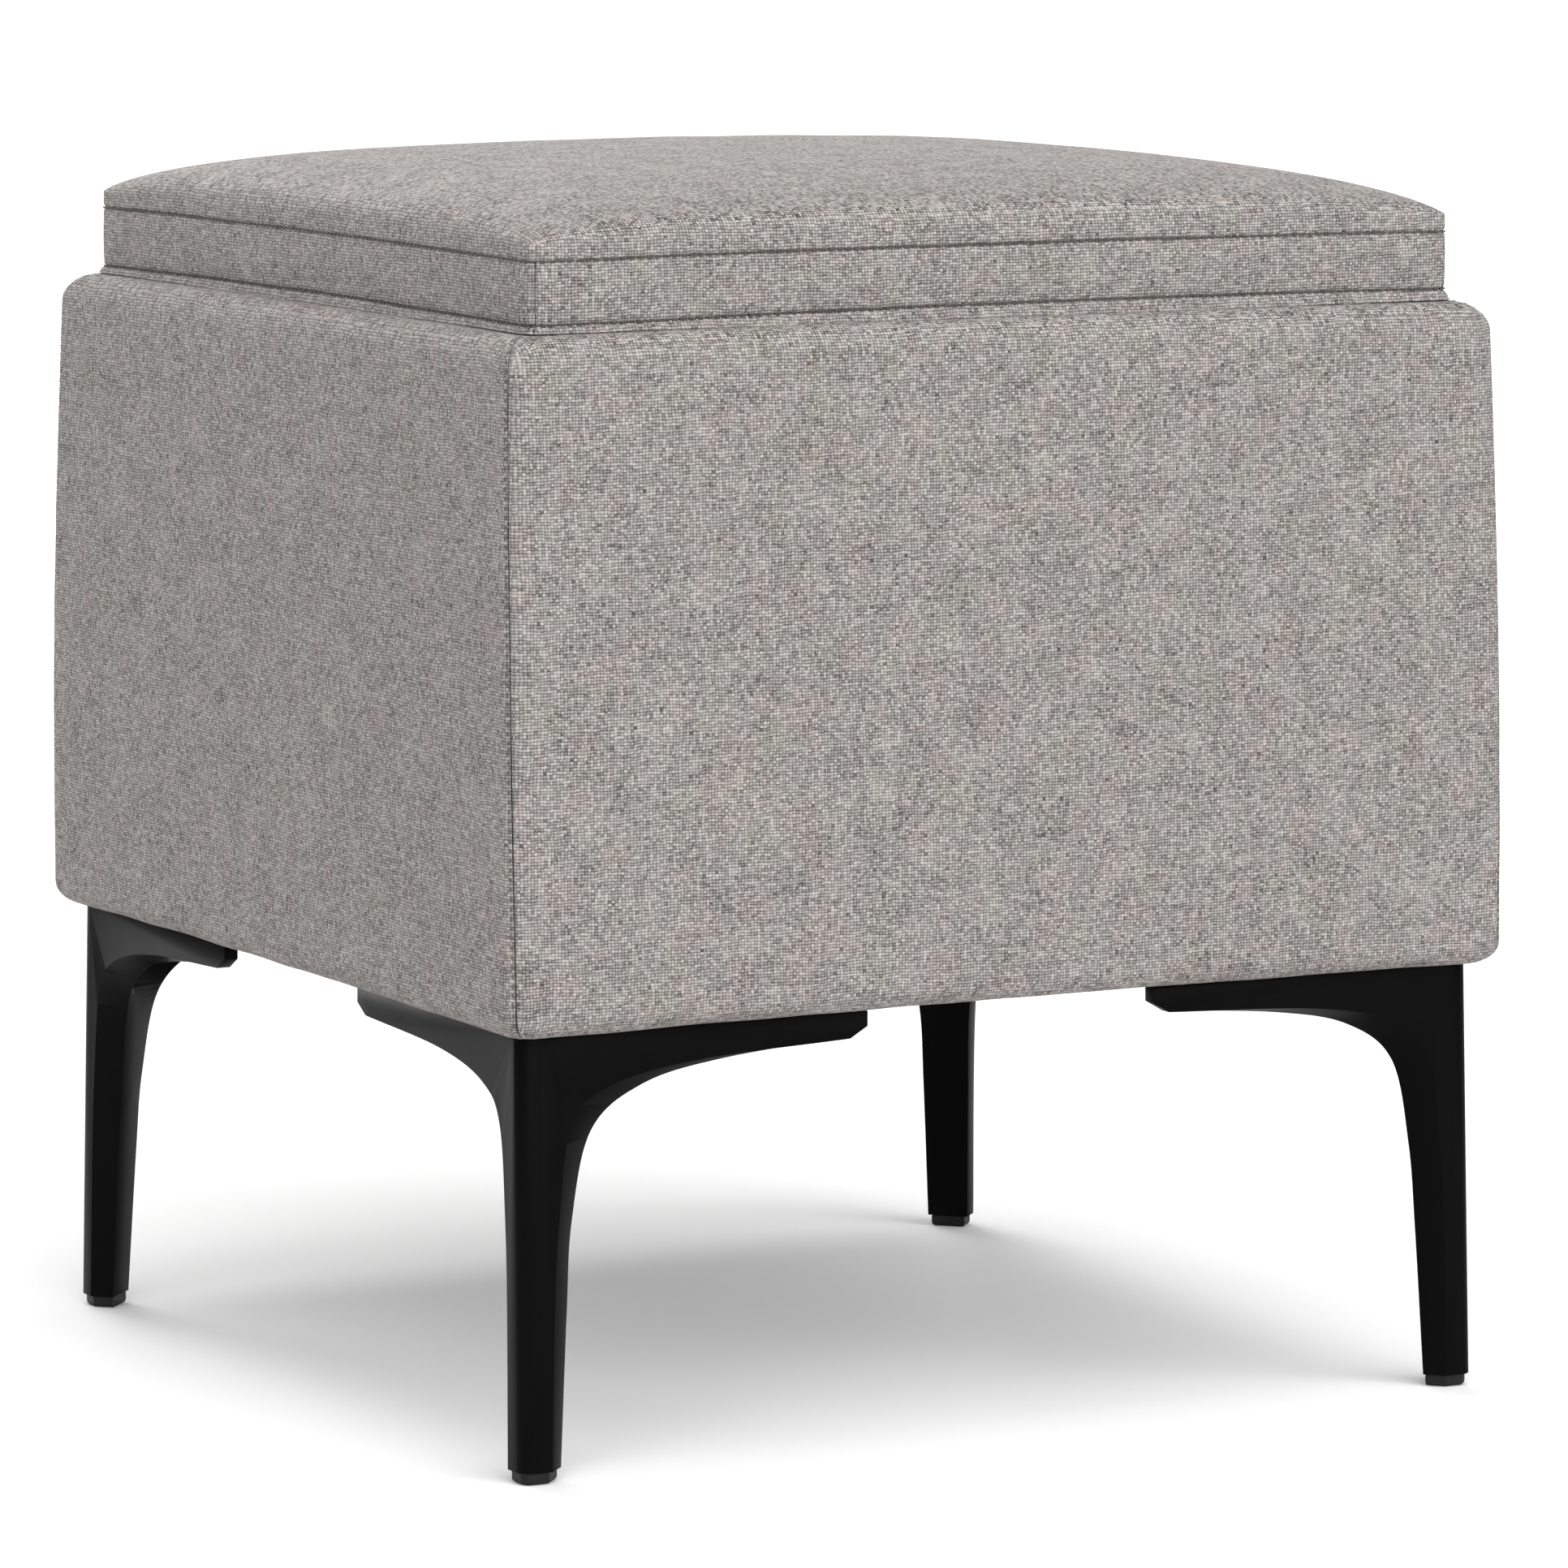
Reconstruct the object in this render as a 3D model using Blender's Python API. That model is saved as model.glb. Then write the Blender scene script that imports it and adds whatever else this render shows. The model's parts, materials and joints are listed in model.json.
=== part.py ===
"""Storage ottoman: an upholstered box with a hinged, padded lid on four cast metal legs.

Metres, +Z up. The origin is on the floor, under the middle of the box.
The front faces -Y and +X is to the right of someone who looks at the front.
"""
import math

import bmesh
import bpy
from mathutils import Matrix, Vector

# Driving dimensions
WIDTH = 0.4106                  # over the padded sides, along X and along Y
HEIGHT = 0.4572                 # floor to the crown of the lid
GAP = 0.0003                    # between faces that touch on the real object
FABRIC = 0.0012                 # upholstery fabric
HALF = WIDTH / 2

# Box
BODY_BOTTOM = 0.1598            # underside of the fabric
RIM_TOP = 0.4050                # fabric over the rim
BOTTOM_EDGE_R = 0.008
SHOULDER_R = 0.011
CORNER_R = 0.009                # vertical corners of the fabric
CORNER_FULL = 0.1975            # half extent from which those corners have their full radius
SIDE_LEAN_START = 0.170         # above this height the sides draw in
SIDE_LEAN = 0.077               # how fast they draw in, per metre
PANEL_THICK = 0.012
PANEL_OUT = 0.1935              # outer face of the wall panels
PANEL_IN = PANEL_OUT - PANEL_THICK
PANEL_TOP = 0.3970
PANEL_CHAMFER = 0.004
INNER_FOAM_R = 0.003            # foam round the chamfered corners of the panels
BOTTOM_PANEL = (BODY_BOTTOM + FABRIC + GAP, 0.1770)
BOTTOM_PANEL_HALF = 0.1915
FOAM_TOP = 0.3920               # side foam
FOAM_BOTTOM = BODY_BOTTOM + 0.0029
FLAP_IN = 0.1799                # fabric turned down inside the rim
FLAP_END = 0.3800
TURN_UNDER_END = 0.1850         # fabric turned under the bottom panel
LINING = 0.0010
LINING_OUT = PANEL_IN - GAP
CLEAT = (0.230, 0.016, 0.013)   # length, width and height
FLOOR_PANEL = (0.1906, 0.1938)
FLOOR_HALF = 0.1798

# Lid
LID_HALF = 0.1885
LID_CORNER_R = 0.007
LIP_BOTTOM = RIM_TOP + 0.00035
LOWER_SEAM = 0.40905
UPPER_SEAM = 0.4310
BORDER_BULGE = 0.0019
CROWN_EDGE = 0.4345
CROWN_RISE = HEIGHT - CROWN_EDGE
CROWN_POWER = 2.72
CROWN_FLAT = 0.30
BOARD = (0.4109, 0.4229)
BOARD_HALF = LID_HALF - FABRIC - GAP
WADDING_IN = 0.1802             # inner face of the wadding, round the foam
LID_LINING = (0.4087, 0.4092)
LID_LINING_HALF = 0.178

# Lid hinges
AXIS_Y = 0.1920
AXIS_Z = 0.4082
HINGE_X = 0.105
HINGE_LENGTH = 0.050
KNUCKLES = 5
KNUCKLE_R = 0.0028
PIN_R = 0.0012
PIN_HOLE_R = 0.0015
LEAF = 0.0014
LEAF_BACK = 0.1892              # where a leaf meets its knuckles
LID_LEAF_FRONT = 0.1560
BODY_LEAF_Z = RIM_TOP + GAP
LID_LEAF_Z = BODY_LEAF_Z + LEAF + GAP
HINGE_SCREW_X = 0.015
HINGE_BODY_SCREW_Z = 0.388
HINGE_LID_SCREW_Y = 0.166

# Lid stays: lid, arm, link and wall bracket form a parallelogram in the Y-Z plane
LID_PIVOT = Vector((AXIS_Y - 0.090, AXIS_Z - 0.0145))
WALL_PIVOT = Vector((AXIS_Y - 0.036, AXIS_Z - 0.066))
ELBOW = WALL_PIVOT + LID_PIVOT - Vector((AXIS_Y, AXIS_Z))
STAY_HALF_WIDTH = 0.006
RIVET_R = 0.0025
RIVET_HOLE_R = 0.00265
BRACKET_X = (0.1784, 0.1799)    # distances from the middle plane
ARM_X = (0.1759, 0.1779)
LINK_X = (0.1736, 0.1756)
LID_TAB_X = (0.1717, 0.1733)

# Legs
LEG_CORNER = 0.1976             # outer corner of a leg at the floor
LEG_LEAN = 0.0018               # the post leans in by this much at the top
LEG_BOTTOM = 0.0045
LEG_TOP = BODY_BOTTOM - GAP
LEG_CORNER_R = (0.0055, 0.0080) # outer edge: at the foot and at the top
WING = 0.0055                   # thickness of the wings
WING_TIP = (0.137, 0.154)
PLATE_Z = (LEG_TOP - 0.0050, LEG_TOP - 0.0008)
PLATE_REACH = 0.095
BOLTS = ((0.024, 0.024), (0.060, 0.025), (0.025, 0.060))
BOLT_HOLE_R = 0.0034
TEE_NUT_HOLE_R = 0.0044
DUST_COVER = (BODY_BOTTOM - 0.0008, BODY_BOTTOM - 0.0003)
DUST_COVER_HALF = 0.1880
GLIDE_TOP = LEG_BOTTOM - GAP

CORNER_STEPS = 3


# ---------------------------------------------------------------- materials
def material(name, colour, roughness, metallic=0.0):
    mat = bpy.data.materials.new(name)
    mat.use_nodes = True
    shader = mat.node_tree.nodes["Principled BSDF"]
    shader.inputs["Base Color"].default_value = (*colour, 1.0)
    shader.inputs["Roughness"].default_value = roughness
    shader.inputs["Metallic"].default_value = metallic
    mat.diffuse_color = (*colour, 1.0)
    return mat


FINISHES = {
    "upholstery": ((0.42, 0.40, 0.375), 0.95, 0.0),
    "leg_metal": ((0.012, 0.012, 0.013), 0.38, 0.6),
    "foam": ((0.86, 0.80, 0.60), 0.95, 0.0),
    "wadding": ((0.90, 0.90, 0.88), 1.0, 0.0),
    "plywood": ((0.62, 0.46, 0.29), 0.70, 0.0),
    "particle_board": ((0.55, 0.44, 0.31), 0.85, 0.0),
    "lining": ((0.025, 0.025, 0.027), 0.95, 0.0),
    "dust_cover": ((0.018, 0.018, 0.018), 0.95, 0.0),
    "zinc_steel": ((0.62, 0.62, 0.60), 0.35, 1.0),
    "black_plastic": ((0.015, 0.015, 0.015), 0.50, 0.0),
}


# ---------------------------------------------------------------- mesh tools
def add_object(name, bm, finish, parent=None):
    """Make the node: its own material, and its origin on its parent's axis."""
    bmesh.ops.remove_doubles(bm, verts=bm.verts, dist=1e-6)
    bmesh.ops.recalc_face_normals(bm, faces=bm.faces)
    if bm.calc_volume(signed=True) < 0:
        bmesh.ops.reverse_faces(bm, faces=bm.faces)
    if parent is not None:
        bmesh.ops.translate(bm, verts=bm.verts, vec=-parent.location)
    mesh = bpy.data.meshes.new(name)
    bm.to_mesh(mesh)
    bm.free()
    obj = bpy.data.objects.new(name, mesh)
    bpy.context.scene.collection.objects.link(obj)
    obj.parent = parent
    if finish:
        mesh.materials.append(material(name, *FINISHES[finish]))
    return obj


def add_cutter(name, bm):
    cutter = add_object(name, bm, None)
    cutter.hide_render = True
    cutter.display_type = "WIRE"
    return cutter


def boolean(obj, cutter, operation="DIFFERENCE"):
    mod = obj.modifiers.new(cutter.name, "BOOLEAN")
    mod.operation = operation
    mod.solver = "EXACT"
    mod.object = cutter


def drill(pieces, holes):
    for piece in pieces:
        boolean(piece, holes)


def smooth(obj, degrees=35):
    obj.data.shade_smooth()
    obj.data.set_sharp_from_angle(angle=math.radians(degrees))


def axis_empty(name, location):
    empty = bpy.data.objects.new(name, None)
    empty.location = location
    bpy.context.scene.collection.objects.link(empty)
    return empty


def add_box(bm, low, high):
    centre = (Vector(low) + Vector(high)) / 2
    size = Vector(high) - Vector(low)
    matrix = Matrix.Translation(centre) @ Matrix.Diagonal((*size, 1.0))
    bmesh.ops.create_cube(bm, size=1.0, matrix=matrix)


def add_prism(bm, outline, low, high, place):
    """Extrude a flat outline; place(a, b, c) turns outline and depth into a point."""
    ends = [[bm.verts.new(place(a, b, depth)) for a, b in outline] for depth in (low, high)]
    count = len(outline)
    for i in range(count):
        j = (i + 1) % count
        bm.faces.new((ends[0][i], ends[0][j], ends[1][j], ends[1][i]))
    for loop in ends:
        bm.faces.new(loop)


def along_x(a, b, depth):
    return (depth, a, b)


def along_z(a, b, depth):
    return (a, b, depth)


def arc(centre, radius, start, end, steps):
    """Points on an arc, angles in degrees."""
    points = []
    for i in range(steps + 1):
        angle = math.radians(start + (end - start) * i / steps)
        points.append((centre[0] + radius * math.cos(angle), centre[1] + radius * math.sin(angle)))
    return points


def add_lathe(bm, profile, matrix, segments=8, closed=False):
    """Turn (radius, height) points about local Z; a closed profile leaves a bore."""
    rings = []
    for radius, height in profile:
        if radius == 0.0:
            rings.append([bm.verts.new(matrix @ Vector((0, 0, height)))])
            continue
        ring = []
        for i in range(segments):
            angle = 2 * math.pi * (i + 0.5) / segments
            point = Vector((radius * math.cos(angle), radius * math.sin(angle), height))
            ring.append(bm.verts.new(matrix @ point))
        rings.append(ring)
    pairs = list(zip(rings, rings[1:]))
    if closed:
        pairs.append((rings[-1], rings[0]))
    for lower, upper in pairs:
        for i in range(segments):
            j = (i + 1) % segments
            quad = [lower[i % len(lower)], lower[j % len(lower)]]
            quad += [upper[j % len(upper)], upper[i % len(upper)]]
            unique = list(dict.fromkeys(quad))
            if len(unique) > 2:
                bm.faces.new(unique)


def fastener_profile(head_r, head_h, shank_r, length, grow=0.0):
    """Head from -head_h to 0, shank from 0 to length."""
    return [(0.0, -head_h - grow), (head_r + grow, -head_h - grow), (head_r + grow, grow),
            (shank_r + grow, grow), (shank_r + grow, length + grow), (0.0, length + grow)]


def screw_holes(name, size, places, grow=GAP):
    """A cutter that leaves room for the shanks and heads of several screws."""
    cutter = bmesh.new()
    for place in places:
        add_lathe(cutter, fastener_profile(*size, grow=grow), place)
    return add_cutter(name, cutter)


def screws(name, size, places, parent=None):
    """Identical screws, one object each, sharing a mesh; places are world matrices."""
    bm = bmesh.new()
    add_lathe(bm, fastener_profile(*size), Matrix.Identity(4))
    first = add_object(name + "_1", bm, "zinc_steel")
    smooth(first)
    origin = parent.location if parent else Vector()
    for number, place in enumerate(places, 1):
        screw = first
        if number > 1:
            screw = bpy.data.objects.new(f"{name}_{number}", first.data)
            bpy.context.scene.collection.objects.link(screw)
        screw.parent = parent
        screw.matrix_local = Matrix.Translation(-origin) @ place


def corner_radius(half, height):
    """Vertical corners: full radius outside, tight inside the rim."""
    inside, tight = FLAP_IN, 0.002
    share = (half - inside) / (CORNER_FULL - inside)
    return tight + (CORNER_R - tight) * min(max(share, 0.0), 1.0)


def square_ring(half, radius, steps=CORNER_STEPS, between=0):
    """A rounded square, anticlockwise, with extra points along each side."""
    points = []
    centre = half - radius
    for quarter in range(4):
        corner = arc((centre, centre), radius, 0, 90, steps)
        if between:
            reach = 2 * centre
            for k in range(1, between + 1):
                corner.append((centre - reach * k / (between + 1), half))
        turn = Matrix.Rotation(math.radians(90 * quarter), 2)
        points += [tuple(turn @ Vector(p)) for p in corner]
    return points


def add_ring_sweep(bm, profile, radius_of, steps=CORNER_STEPS):
    """Sweep a closed (half extent, height) profile round the square."""
    rings = []
    for half, height in profile:
        radius = radius_of(half, height)
        ring = [bm.verts.new((x, y, height)) for x, y in square_ring(half, radius, steps)]
        rings.append(ring)
    count = len(rings[0])
    for lower, upper in zip(rings, rings[1:] + rings[:1]):
        for i in range(count):
            j = (i + 1) % count
            bm.faces.new((lower[i], lower[j], upper[j], upper[i]))


def thicken(line, thickness):
    """Close an open outer line with a second line offset to its left."""
    inner = []
    for i, point in enumerate(line):
        before = Vector(line[max(i - 1, 0)])
        after = Vector(line[min(i + 1, len(line) - 1)])
        along = (after - before).normalized()
        inner.append(tuple(Vector(point) + thickness * Vector((-along.y, along.x))))
    return list(line) + inner[::-1]


# ---------------------------------------------------------------- box
def side_half(height):
    """Half extent of the fabric at a height: upright below, drawn in above."""
    rise = max(height - SIDE_LEAN_START, 0.0)
    return HALF - SIDE_LEAN * rise * rise


def side_line(inset, low, high, steps):
    return [(side_half(low + (high - low) * i / steps) - inset, low + (high - low) * i / steps)
            for i in range(steps + 1)]


def shoulder_centre():
    height = RIM_TOP - SHOULDER_R
    return (side_half(height) - SHOULDER_R, height)


def body_cover():
    """Outer fabric: turned under the bottom, up the sides, over the rim and down inside."""
    bottom = (HALF - BOTTOM_EDGE_R, BODY_BOTTOM + BOTTOM_EDGE_R)
    inner_r = 0.0022
    line = [(TURN_UNDER_END, BODY_BOTTOM)]
    line += arc(bottom, BOTTOM_EDGE_R, -90, 0, 3)
    line += side_line(0.0, SIDE_LEAN_START, RIM_TOP - SHOULDER_R - 0.006, 4)
    line += arc(shoulder_centre(), SHOULDER_R, 0, 90, 4)
    line += arc((FLAP_IN + inner_r, RIM_TOP - inner_r), inner_r, 90, 180, 2)
    line.append((FLAP_IN, FLAP_END))
    bm = bmesh.new()
    add_ring_sweep(bm, thicken(line, FABRIC), corner_radius)
    cover = add_object("body_cover", bm, "upholstery")
    smooth(cover, 50)
    return cover


def rim_foam():
    """Foam over the top of the wall panels, under the fabric of the rim."""
    inset = FABRIC + 0.0004
    line = [(PANEL_IN + GAP, PANEL_TOP + GAP), (PANEL_OUT + GAP, PANEL_TOP + GAP),
            (PANEL_OUT + GAP, FOAM_TOP + GAP)]
    line.append((side_half(FOAM_TOP) - inset, FOAM_TOP + GAP))
    line += arc(shoulder_centre(), SHOULDER_R - inset, 5, 90, 3)
    line += [(PANEL_IN + 0.0012, RIM_TOP - inset), (PANEL_IN + GAP, RIM_TOP - inset - 0.0009)]

    def radius(half, height):
        against_panel = half < PANEL_OUT + 2 * GAP and height < PANEL_TOP + 2 * GAP
        return INNER_FOAM_R if against_panel else corner_radius(half, height)

    bm = bmesh.new()
    add_ring_sweep(bm, line, radius)
    smooth(add_object("rim_foam", bm, "foam"), 50)


def side_foam(side, quarter):
    """Foam glued to one wall panel, mitred to its neighbours at the corners."""
    inset = FABRIC + 0.0007
    bottom = (HALF - BOTTOM_EDGE_R, BODY_BOTTOM + BOTTOM_EDGE_R)
    profile = [(PANEL_OUT + GAP, FOAM_TOP), (PANEL_OUT + GAP, FOAM_BOTTOM)]
    profile += arc(bottom, BOTTOM_EDGE_R - inset, -60, 0, 2)
    profile += side_line(inset, SIDE_LEAN_START, FOAM_TOP, 3)
    mitre_shift = GAP / math.sqrt(2)
    turn = Matrix.Rotation(math.radians(90 * quarter), 3, "Z")
    bm = bmesh.new()
    loops = []
    for half, height in profile:
        radius = INNER_FOAM_R if half < PANEL_OUT + 2 * GAP else CORNER_R + 0.002
        centre = half - radius
        upper = arc((centre, centre), radius, 45, 0, 2)
        path = upper[::-1] + [(x, -y) for x, y in upper]
        path.sort(key=lambda p: p[1])
        loops.append([bm.verts.new(turn @ Vector((x + mitre_shift, y, height))) for x, y in path])
    count = len(loops[0])
    for lower, upper in zip(loops, loops[1:] + loops[:1]):
        for i in range(count - 1):
            bm.faces.new((lower[i], lower[i + 1], upper[i + 1], upper[i]))
    for end in (0, count - 1):
        bm.faces.new([loop[end] for loop in loops])
    smooth(add_object("side_foam_" + side, bm, "foam"))


ALL_CORNERS = ((1, 1), (-1, 1), (-1, -1), (1, -1))


def chamfered_rectangle(half_x, half_y, chamfer, corners):
    """A rectangle's outline with a chamfer at each listed corner sign pair."""
    outline = []
    for sx, sy in ALL_CORNERS:
        corner = Vector((sx * half_x, sy * half_y))
        if (sx, sy) not in corners:
            outline.append(tuple(corner))
            continue
        cut = [(corner.x - sx * chamfer, corner.y), (corner.x, corner.y - sy * chamfer)]
        outline += cut if sx * sy < 0 else cut[::-1]
    return outline


def wall_panels():
    """Front and back panels run full width; the side panels stand between them."""
    low = BOTTOM_PANEL[1] + GAP
    panels = {}
    mid = (PANEL_OUT + PANEL_IN) / 2
    for side, sign in (("front", -1), ("back", 1)):
        outline = chamfered_rectangle(PANEL_OUT, PANEL_THICK / 2, PANEL_CHAMFER, ((1, sign), (-1, sign)))
        outline = [(x, y + sign * mid) for x, y in outline]
        bm = bmesh.new()
        add_prism(bm, outline, low, PANEL_TOP, along_z)
        panels[side] = add_object("wall_panel_" + side, bm, "particle_board")
    reach = PANEL_IN - GAP
    for side, sign in (("left", -1), ("right", 1)):
        bm = bmesh.new()
        x0, x1 = sorted((sign * PANEL_IN, sign * PANEL_OUT))
        add_box(bm, (x0, -reach, low), (x1, reach, PANEL_TOP))
        panels[side] = add_object("wall_panel_" + side, bm, "particle_board")
    return panels


def bottom_panel():
    bm = bmesh.new()
    outline = chamfered_rectangle(BOTTOM_PANEL_HALF, BOTTOM_PANEL_HALF, PANEL_CHAMFER, ALL_CORNERS)
    add_prism(bm, outline, *BOTTOM_PANEL, along_z)
    return add_object("bottom_panel", bm, "particle_board")


def floor_cleats():
    """Battens on the bottom panel, against the side walls, that carry the storage floor."""
    length, width, height = CLEAT
    outer = PANEL_IN - GAP
    low = BOTTOM_PANEL[1] + GAP
    for side, sign in (("left", -1), ("right", 1)):
        x0, x1 = mirrored((outer - width, outer), sign)
        bm = bmesh.new()
        add_box(bm, (x0, -length / 2, low), (x1, length / 2, low + height))
        add_object("floor_cleat_" + side, bm, "plywood")


def floor_panel():
    bm = bmesh.new()
    outline = chamfered_rectangle(FLOOR_HALF, FLOOR_HALF, 0.002, ALL_CORNERS)
    add_prism(bm, outline, *FLOOR_PANEL, along_z)
    add_object("floor_panel", bm, "lining")


def wall_lining():
    low, high = FLOOR_PANEL[0], FLAP_END - GAP
    profile = [(LINING_OUT, low), (LINING_OUT, high), (LINING_OUT - LINING, high), (LINING_OUT - LINING, low)]
    bm = bmesh.new()
    add_ring_sweep(bm, profile, lambda half, height: 0.002, steps=2)
    return add_object("wall_lining", bm, "lining")


def dust_cover():
    bm = bmesh.new()
    low, high = DUST_COVER
    add_box(bm, (-DUST_COVER_HALF, -DUST_COVER_HALF, low), (DUST_COVER_HALF, DUST_COVER_HALF, high))
    return add_object("dust_cover", bm, "dust_cover")


# ---------------------------------------------------------------- legs
# Outer arch of a wing (distance from the corner, height), from the foot to near the tip.
OUTER_ARCH = ((0.0119, LEG_BOTTOM), (0.0126, 0.060), (0.0142, 0.092), (0.0188, 0.1265),
              (0.0328, 0.1397), (0.0675, 0.1468), (0.1300, 0.1499))
# Inner edge of the arch (distance, depth behind the outer face, height), paired with the above.
INNER_ARCH = ((0.0184, 0.0065, LEG_BOTTOM), (0.0210, 0.0074, 0.060), (0.0232, 0.0080, 0.092),
              (0.0305, 0.0075, 0.1238), (0.0500, 0.0066, 0.1387), (0.0800, 0.0060, 0.1454),
              (0.1300, WING, 0.1499))
# Middle of the leg's inner side: up the post, through the hollow, then along the wing's top.
INNER_SPINE = ((0.01245, 0.01245, LEG_BOTTOM), (0.01420, 0.01420, 0.060), (0.01560, 0.01560, 0.092),
               (0.0164, 0.0164, 0.1238), (0.0085, 0.0085, 0.1428), (0.0300, WING, LEG_TOP),
               (0.1300, WING, LEG_TOP))
ARCH_STEPS = 3
LEG_PLACES = (("front_left", -1, -1), ("front_right", 1, -1), ("back_right", 1, 1), ("back_left", -1, 1))


def curve_through(points, steps):
    """A smooth Catmull-Rom curve through the points."""
    points = [Vector(p) for p in points]
    padded = [2 * points[0] - points[1]] + points + [2 * points[-1] - points[-2]]
    result = []
    for i in range(1, len(padded) - 2):
        p0, p1, p2, p3 = padded[i - 1:i + 3]
        for k in range(steps):
            t = k / steps
            result.append(0.5 * (2 * p1 + (p2 - p0) * t + (2 * p0 - 5 * p1 + 4 * p2 - p3) * t ** 2
                                 + (3 * p1 - p0 - 3 * p2 + p3) * t ** 3))
    result.append(points[-1])
    return result


def inner_spine(steps):
    """The spine turns a sharp corner where the hollow meets the wing's top."""
    hollow = curve_through(INNER_SPINE[:5], steps)
    corner = Vector((WING, WING, LEG_TOP))
    rise = [hollow[-1].lerp(corner, k / steps) for k in range(1, steps + 1)]
    wing = [corner.lerp(Vector(INNER_SPINE[-1]), k / steps) for k in range(1, steps + 1)]
    return hollow + rise + wing


def add_leg_half(bm, swap):
    """One wing and half of the post; swap mirrors it across the leg's diagonal."""
    def vert(u, v, z):
        lean = LEG_LEAN * (z - LEG_BOTTOM) / (LEG_TOP - LEG_BOTTOM)
        return bm.verts.new((v + lean, u + lean, z) if swap else (u + lean, v + lean, z))

    outer = [vert(p.x, 0.0, p.y) for p in curve_through(OUTER_ARCH, ARCH_STEPS)]
    inner = [vert(*p) for p in curve_through(INNER_ARCH, ARCH_STEPS)]
    spine = [vert(*p) for p in inner_spine(ARCH_STEPS)]
    tip_out = [vert(WING_TIP[0], 0.0, WING_TIP[1]), vert(WING_TIP[0], 0.0, LEG_TOP)]
    tip_in = [vert(WING_TIP[0], WING, WING_TIP[1]), vert(WING_TIP[0], WING, LEG_TOP)]
    corner = [vert(radius, 0.0, z) for radius, z in zip(LEG_CORNER_R, (LEG_BOTTOM, LEG_TOP))]
    bm.faces.new(outer + tip_out + corner[::-1])
    for i in range(len(outer) - 1):
        bm.faces.new((outer[i], outer[i + 1], inner[i + 1], inner[i]))
        bm.faces.new((inner[i], inner[i + 1], spine[i + 1], spine[i]))
    bm.faces.new((outer[-1], tip_out[0], tip_in[0], inner[-1]))
    bm.faces.new((tip_out[0], tip_out[1], tip_in[1], tip_in[0]))
    bm.faces.new((inner[-1], tip_in[0], tip_in[1], spine[-1]))
    return outer, inner, spine, tip_out, tip_in


def leg_mesh():
    """A leg with its corner at the origin and its wings along +X and +Y."""
    bm = bmesh.new()
    halves = [add_leg_half(bm, swap) for swap in (False, True)]
    arcs = []
    for radius, z, lean in zip(LEG_CORNER_R, (LEG_BOTTOM, LEG_TOP), (0.0, LEG_LEAN)):
        points = arc((radius + lean, radius + lean), radius, 270, 180, CORNER_STEPS)
        arcs.append([bm.verts.new((x, y, z)) for x, y in points])
    for i in range(CORNER_STEPS):
        bm.faces.new((arcs[0][i], arcs[0][i + 1], arcs[1][i + 1], arcs[1][i]))
    (outer, inner, spine, tip_out, tip_in), (outer_m, inner_m, spine_m, tip_out_m, tip_in_m) = halves
    bm.faces.new(arcs[0] + [outer_m[0], inner_m[0], spine[0], inner[0], outer[0]])
    corner_top = ARCH_STEPS * 5
    wing_top = spine[corner_top:] + [tip_in[1], tip_out[1]]
    wing_top_m = [tip_out_m[1], tip_in_m[1]] + spine_m[corner_top + 1:][::-1]
    bm.faces.new(wing_top + arcs[1] + wing_top_m)
    return bm


def legs(dust_sheet, base):
    """Four cast legs, each with a gusset plate, three bolt holes and a plastic glide."""
    bolt_places = []
    for place, sx, sy in LEG_PLACES:
        to_corner = Matrix.Translation((sx * LEG_CORNER, sy * LEG_CORNER, 0))
        to_corner @= Matrix.Diagonal((-sx, -sy, 1, 1))
        bm = leg_mesh()
        bm.transform(to_corner)
        leg = add_object("leg_" + place, bm, "leg_metal")
        smooth(leg, 40)
        plate = bmesh.new()
        hidden = WING / 2
        outline = [(hidden, hidden), (PLATE_REACH, hidden), (hidden, PLATE_REACH)]
        add_prism(plate, outline, *PLATE_Z, along_z)
        plate.transform(to_corner @ Matrix.Translation((LEG_LEAN, LEG_LEAN, 0)))
        boolean(leg, add_cutter("gusset_" + place, plate), "UNION")
        for u, v in BOLTS:
            bolt_places.append((to_corner @ Vector((u, v, 0))).to_2d())
        glide(place, to_corner)
        boolean(leg, bolt_holes("leg_bolt_holes_" + place, bolt_places[-3:], BOLT_HOLE_R, PLATE_Z))
    boolean(dust_sheet, bolt_holes("dust_cover_holes", bolt_places, BOLT_HOLE_R, DUST_COVER))
    boolean(base, bolt_holes("tee_nut_holes", bolt_places, TEE_NUT_HOLE_R, BOTTOM_PANEL))


def bolt_holes(name, places, radius, span):
    bm = bmesh.new()
    low, high = span[0] - 0.002, span[1] + 0.002
    profile = [(0.0, low), (radius, low), (radius, high), (0.0, high)]
    for place in places:
        add_lathe(bm, profile, Matrix.Translation((*place, 0)))
    return add_cutter(name, bm)


def foot_outline(inset):
    """The post's five-sided foot, drawn in by inset."""
    outline = arc((LEG_CORNER_R[0], LEG_CORNER_R[0]), LEG_CORNER_R[0] - inset, 270, 180, 2)
    near, far = OUTER_ARCH[0][0], INNER_ARCH[0]
    slant = inset * math.tan(math.radians(22.5))
    outline += [(inset, near - slant), (far[1] + slant, far[0] - inset), (far[0] - inset, far[1] + slant),
                (near - slant, inset)]
    return outline


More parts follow.
